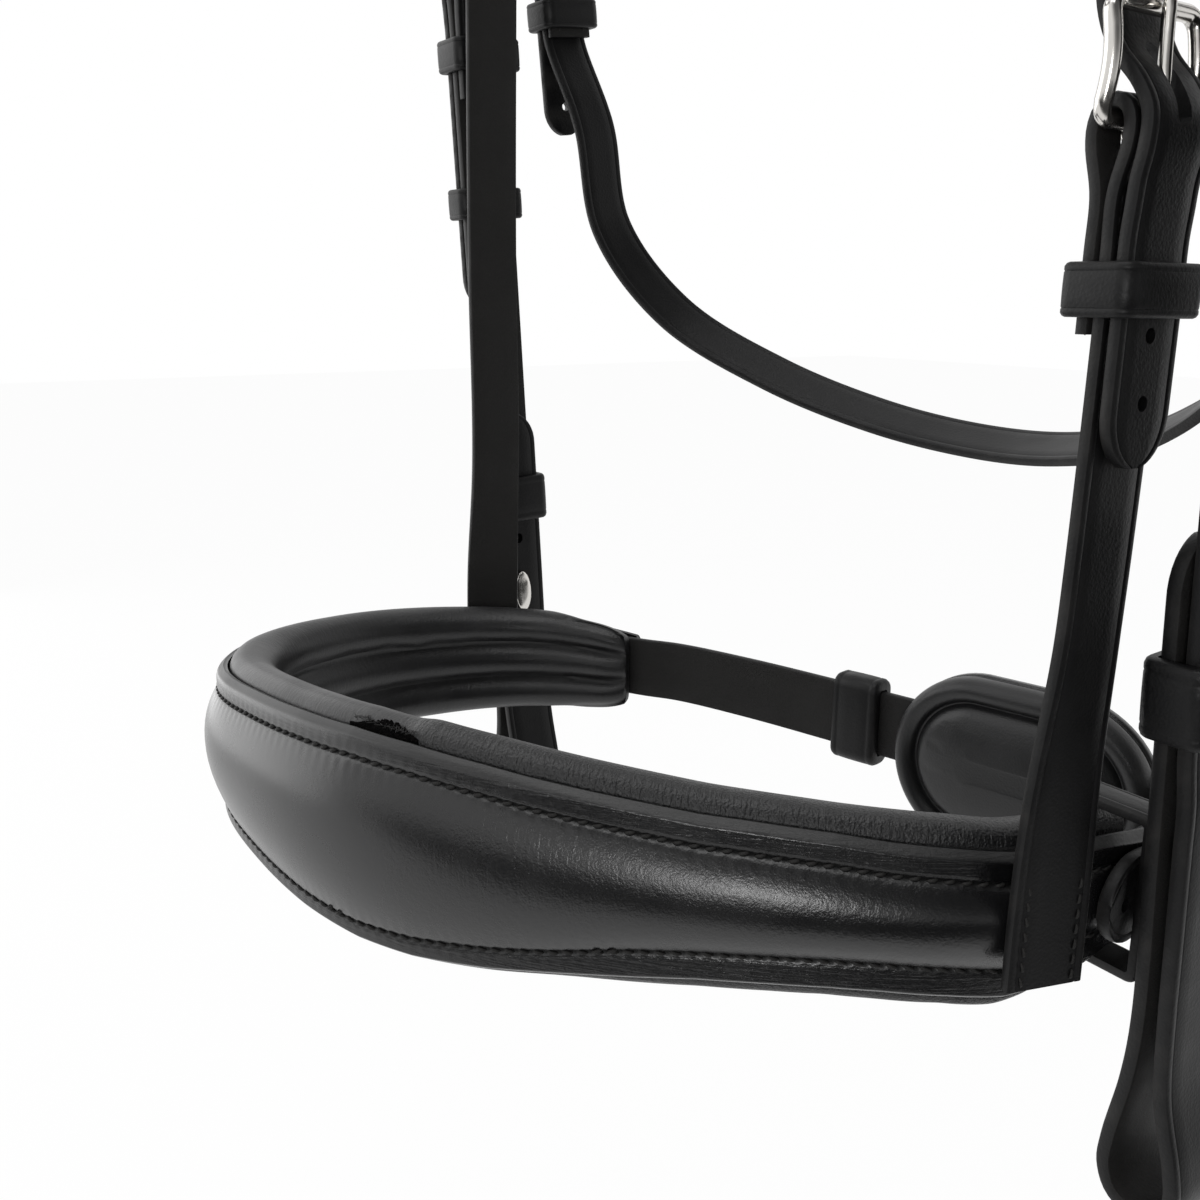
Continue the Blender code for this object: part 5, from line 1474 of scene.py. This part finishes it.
def crown_padding_section(angle):
    left = min(angle - math.radians(27), math.radians(153) - angle) / math.radians(10)
    end = math.sqrt(max(0.0, 1 - max(0.0, 1 - left) ** 2))
    half = (CROWN_WIDTH / 2 + 0.004) * (0.75 + 0.25 * end)
    top = -CROWN_THICK / 2 - GAP
    thick = CROWN_PADDING_THICK * (0.35 + 0.65 * end)
    shape = [(0.86, 0.0), (0.96, -0.14), (1.0, -0.45), (0.955, -0.80), (0.80, -1.0), (0.50, -1.0),
             (0.20, -0.94), (0.08, -0.72), (0.0, -0.66)]
    shape += [(-v, m) for v, m in shape[-2::-1]] + [(-0.4, 0.0), (0.0, 0.0), (0.4, 0.0)]
    return resampled([(half * v, top + thick * m) for v, m in shape], CROWN_PAD_AROUND)


rings = []
held = []
crown_angles = np.linspace(*np.radians(CROWN_PAD_ENDS), 110)
for i, angle in enumerate(crown_angles):
    point, normal = arch(angle)
    section = crown_padding_section(angle)
    rings.append([point + BACK * (CROWN_Y + a) + normal * m for a, m in section])
    flat_back = -CROWN_THICK / 2 - GAP - 0.0012
    for j, (a, m) in enumerate(section):
        if m > flat_back or abs(a) < 0.0018 or i < 3 or i > len(crown_angles) - 4:
            held.append(i * CROWN_PAD_AROUND + j)
crown_pad = skin("headpiece_soft_pad", rings)
lay(crown_pad, crown_angles * ARCH_OUT, np.linspace(0, CROWN_PAD_GIRTH, CROWN_PAD_AROUND))
swollen(crown_pad, held, CUSHION_AIR, CROWN_SWELL)
smoothed(crown_pad)
fitted(crown_pad, soft_leather, "headstall", "soft_leather", "headpiece_padding")
stitches = []
for angle in np.linspace(math.radians(31), math.radians(149), 92):
    point, normal = arch(angle, CROWN_THICK / 2 + 0.0001)
    run = np.cross(normal, BACK)
    for side in (1, -1):
        from_middle = side * (CROWN_WIDTH / 2 - CROWN_STITCH_MARGIN)
        stitches.append((point + BACK * (CROWN_Y + from_middle), run, normal))
sewn("headpiece_stitches", stitches, 0.00036, 0.00110)


# Throatlash: a narrow strap with a buckle folded into each end. It hangs in a loose U behind the
# cheeks, and it is the one strap that turns as it hangs, so that its face follows the throat.
THROAT_HANG = [(-101.5, 47.5, 150), (-101.5, 54, 122), (-89.0, 68.0, 98), (-62, 85, 80.5),
               (-31, 97.5, 70), (0, 102, 66), (31, 97.5, 67.5), (63, 85, 75.5), (91.5, 67, 94),
               (101.5, 54, 122), (101.5, 47.5, 150)]
THROAT_FACE_HIGH = np.array([0.0, 0.995, 0.10])
THROAT_FACE_LOW = np.array([0.0, 0.88, 0.47])
THROAT_KEEPER_DOWN = 0.020
THROAT_KEEPER_LENGTH = 0.0075
THROAT_STITCH_MARGIN = 0.0024


def folded(spot, layer, fold, start, stop):
    """Side view of a strap folded round the heel bar, from the inner leaf to the outer one."""
    turn = [(-0.003, -fold), (0.0, -fold), (fold * FOLD_HALF_TURN, -fold * FOLD_HALF_TURN), (fold, 0.0),
            (fold * FOLD_HALF_TURN, fold * FOLD_HALF_TURN), (0.0, fold), (-0.003, fold)]
    inner = [(x, -layer) for x in start]
    outer = [(x, layer) for x in stop]
    return [spot.at(x, z) for x, z in inner + turn + outer]


throat_layer = STRAP_THICK / 2 + GAP
throat_folds = {side: folded(spot, throat_layer, BAR_RADIUS + FOLD_GAP + STRAP_THICK / 2,
                             (-0.026, -0.016, -0.010), (-0.010, -0.016, -0.026))
                for side, spot in throat_spots.items()}
hanging = [np.array(place) / 1000 for place in THROAT_HANG]
route = bends(throat_folds[OFF] + hanging + throat_folds[NEAR][::-1], 0.0011)
facing = []
for point, ahead in zip(route, tangents(route)):
    low = step_up(0.155 - point[2], 0.0, 0.060)
    facing.append(np.cross(ahead, unit(THROAT_FACE_HIGH * (1 - low) + THROAT_FACE_LOW * low)))
throatlash = strap_skin("throatlash_strap", route, np.array(facing), THROAT_WIDTH, STRAP_THICK)
punched(throatlash, [heel_slot(spot) for spot in throat_spots.values()])
fitted(throatlash, strap_leather, "headstall", "strap_leather", "throatlash")
for side, label in SIDES:
    spot = throat_spots[side]
    buckle("throat_" + label, "throatlash_buckle_" + label, spot, THROAT_WIDTH,
           "throat_tongue_" + label)
    keeper("throat_loop_" + label, "throatlash_keeper_" + label, spot.moved(-THROAT_KEEPER_DOWN),
           THROAT_WIDTH / 2, -throat_layer - STRAP_THICK / 2, throat_rest + STRAP_THICK / 2,
           THROAT_KEEPER_LENGTH)
    rows = fold_seam(spot, -0.0255, THROAT_WIDTH / 2 - THROAT_STITCH_MARGIN,
                     throat_layer + STRAP_THICK / 2)
    sewn("throat_seam_" + label, rows, 0.00032, 0.00100)


# Noseband head strap and near hanger: the strap is sewn to the band's off side, goes up and under
# the headpiece, and comes down to a buckle on the near side. A short hanger there carries the
# buckle, and is sewn to the band in the same way.
HANGER_WIDTH = 0.015
HANGER_THICK = 0.0022
HANGER_ARC = {OFF: 0.1518, NEAR: 0.1480}
HANGER_BUCKLE_Z = 0.128
HEADSTRAP_Y = 0.022
HANGER_OUT = BAND_THICK + BAND_RAISE + GAP + HANGER_THICK / 2
HANGER_STITCH_MARGIN = 0.0025
HANGER_TAIL = 0.050
HANGER_HOLES = (0.030, 0.040)
HANGER_KEEPER_DOWN = 0.0235
HANGER_KEEPER_LENGTH = 0.0080
hanger_spot = Spot((0.1010, 0.0100, HANGER_BUCKLE_Z), (0, 0.012, 1), (1, 0, 0))
hanger_rest = HANGER_THICK + 0.0006 + GAP + STRAP_THICK / 2


def hanger_facing(route, normal, turned_low):
    """Flat to the side above, and square to the band's face where the strap is sewn to it."""
    facing = []
    for point, ahead in zip(route, tangents(route)):
        flat = np.array([-ahead[2], 0.0, ahead[0]])
        high = step_up(point[2], 0.0, 0.055)
        facing.append(flat * high + normal * (1 - high) if turned_low(point) else flat)
    return np.array(facing)


feet = {side: guide_at(side * HANGER_ARC[side]) for side in (OFF, NEAR)}
foot = feet[OFF][0] + feet[OFF][1] * HANGER_OUT
under_crown = -(CROWN_THICK / 2 + GAP + CROWN_PADDING_THICK + GAP + HANGER_THICK / 2)
points = [foot - UP * 0.010, foot, foot + np.array([-0.0003, 0.0004, 0.020])]
points += [np.array(place) for place in ((-0.1015, 0.0136, 0.060), (-0.1025, 0.0139, 0.110),
                                         (-0.1015, 0.0140, 0.165), (-0.0995, 0.0140, 0.215))]
for angle in np.radians(range(176, 0, -16)):
    point, _ = arch(angle, under_crown)
    points.append(point + BACK * (0.014 + (HEADSTRAP_Y - 0.014) * math.sin(angle)))
points.append(np.array([0.0995, 0.0120, 0.215]))
hanger_fold = BAR_RADIUS + FOLD_GAP + HANGER_THICK
through_buckle = billet_points(0.030, (HANGER_TAIL, hanger_rest), hanger_fold)
points += [hanger_spot.at(x, z) for x, z in through_buckle]
route = bends(points, 0.0012)
facing = hanger_facing(route, feet[OFF][1], lambda point: point[0] < 0)
headstrap = strap_skin("noseband_long_hanger", route, facing, HANGER_WIDTH, HANGER_THICK,
                       tip_end=True)
punched(headstrap, [tongue_slot(hanger_spot)]
        + [round_hole(hanger_spot.moved(-d, hanger_rest), SMALL_HOLE_RADIUS) for d in HANGER_HOLES])
fitted(headstrap, strap_leather, "headstall", "strap_leather", "noseband_headstrap")

foot = feet[NEAR][0] + feet[NEAR][1] * HANGER_OUT
hanger_layer = HANGER_THICK / 2 + GAP
points = folded(hanger_spot, hanger_layer, BAR_RADIUS + FOLD_GAP + HANGER_THICK / 2,
                (-0.030, -0.018, -0.010), (-0.010, -0.018, -0.032))
points += [foot * 0.35 + hanger_spot.at(-0.032, hanger_layer) * 0.65 - UP * 0.012,
           foot + np.array([0.0004, 0.0, 0.026]), foot, foot - UP * 0.010]
route = bends(points, 0.0010)
facing = hanger_facing(route, feet[NEAR][1], lambda point: True)
hanger = strap_skin("noseband_short_hanger", route, facing, HANGER_WIDTH, HANGER_THICK)
punched(hanger, [heel_slot(hanger_spot)])
fitted(hanger, strap_leather, "headstall", "strap_leather", "noseband_hanger_near")
buckle("hanger", "hanger_buckle", hanger_spot, HANGER_WIDTH, "hanger_tongue")
keeper("hanger_loop", "hanger_keeper", hanger_spot.moved(-HANGER_KEEPER_DOWN), HANGER_WIDTH / 2,
       -hanger_layer - HANGER_THICK / 2, hanger_rest + HANGER_THICK / 2, HANGER_KEEPER_LENGTH)
half = HANGER_WIDTH / 2 - HANGER_STITCH_MARGIN
rows = fold_seam(hanger_spot, -0.0295, half, hanger_layer + HANGER_THICK / 2)
for point, normal, _ in feet.values():
    root = Spot(point + normal * (HANGER_OUT + HANGER_THICK / 2), UP, normal)
    rows += seam(root, 0.0085, -0.0085, half, 0.0)
sewn("hanger_seams", rows, *FOLD_THREAD)


# Browband: smooth leather over a soft backing, sewn along both edges, with a leather loop at each
# end that goes round the headpiece's tails and the noseband's head strap.
BROWBAND_PLAN = [(-104.5, -4), (-103.6, -13), (-94, -36), (-72, -60), (-38, -76), (0, -81), (38, -76),
                 (72, -60), (94, -36), (103.6, -13), (104.5, -4)]
BROWBAND_STEP = 0.0022
BROWBAND_WIDTH = 0.018
BROWBAND_THICK = 0.0026
BROW_PAD_DEPTH = 0.0065
BROW_PAD_HALF = 0.0118
BROW_PAD_AROUND = 32
BROW_PAD_GIRTH = 0.05
BROW_LOOP_OUT = 0.1045
BROW_LOOP_Y = 0.0225
BROW_LOOP_HALF = 0.0235
BROW_LOOP_INSIDE = (-0.0094, 0.0078)
BROW_LOOP_THICK = 0.0024
BROW_STITCH_MARGIN = 0.0030

route = bends([(x / 1000, y / 1000, BROWBAND_Z) for x, y in BROWBAND_PLAN], BROWBAND_STEP)
browband = strap_skin("browband_strap", route, turned(route), BROWBAND_WIDTH, BROWBAND_THICK)
fitted(browband, smooth_leather, "headstall", "smooth_leather", "browband_leather")
rings = []
held = []
facing = turned(route)
steps = range(3, len(route) - 3)
for i, k in enumerate(steps):
    near_end = min(i, len(steps) - 1 - i)
    end = min(1.0, 0.35 + 0.10 * near_end)
    half = BROW_PAD_HALF * (0.8 + 0.2 * end)
    deep = BROW_PAD_DEPTH * (0.4 + 0.6 * end)
    shape = [(0.84, 0.0), (0.97, -0.12), (1.0, -0.42), (0.93, -0.82), (0.66, -1.0), (0.30, -0.96),
             (0.10, -0.82), (0.0, -0.78)]
    shape += [(-v, m) for v, m in shape[-2::-1]] + [(-0.4, 0.0), (0.0, 0.0), (0.4, 0.0)]
    back = -BROWBAND_THICK / 2 - GAP
    section = resampled([(half * v, back + deep * m) for v, m in shape], BROW_PAD_AROUND)
    rings.append([route[k] + UP * v + facing[k] * m for v, m in section])
    for j, (v, m) in enumerate(section):
        if m > back - 0.0012 or abs(v) < 0.0010 or near_end < 2:
            held.append(i * BROW_PAD_AROUND + j)
brow_pad = skin("browband_soft_backing", rings)
lay(brow_pad, [k * BROWBAND_STEP for k in steps], np.linspace(0, BROW_PAD_GIRTH, BROW_PAD_AROUND))
swollen(brow_pad, held, CUSHION_AIR, CUSHION_SWELL)
smoothed(brow_pad)
fitted(brow_pad, soft_leather, "headstall", "soft_leather", "browband_padding")
stitches = []
edge_route = evenly(route, STITCH_PITCH)
for point, normal, ahead in list(zip(edge_route, turned(edge_route), tangents(edge_route)))[5:-5]:
    for row in (1, -1):
        off_middle = UP * row * (BROWBAND_WIDTH / 2 - BROW_STITCH_MARGIN)
        stitches.append((point + off_middle + normal * (BROWBAND_THICK / 2 + 0.0001),
                         unit(ahead + UP * row * STITCH_SLANT), normal))
sewn("browband_stitches", stitches, 0.00034, 0.00108)
for side, label in SIDES:
    spot = Spot((side * BROW_LOOP_OUT, BROW_LOOP_Y, BROWBAND_Z), (0, 0, 1), (side, 0, 0))
    keeper("browband_end_" + label, "browband_loop_" + label, spot, BROW_LOOP_HALF, *BROW_LOOP_INSIDE,
           BROWBAND_WIDTH, thick=BROW_LOOP_THICK)


# Corners of the box round the shown model, without the floor
low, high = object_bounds()
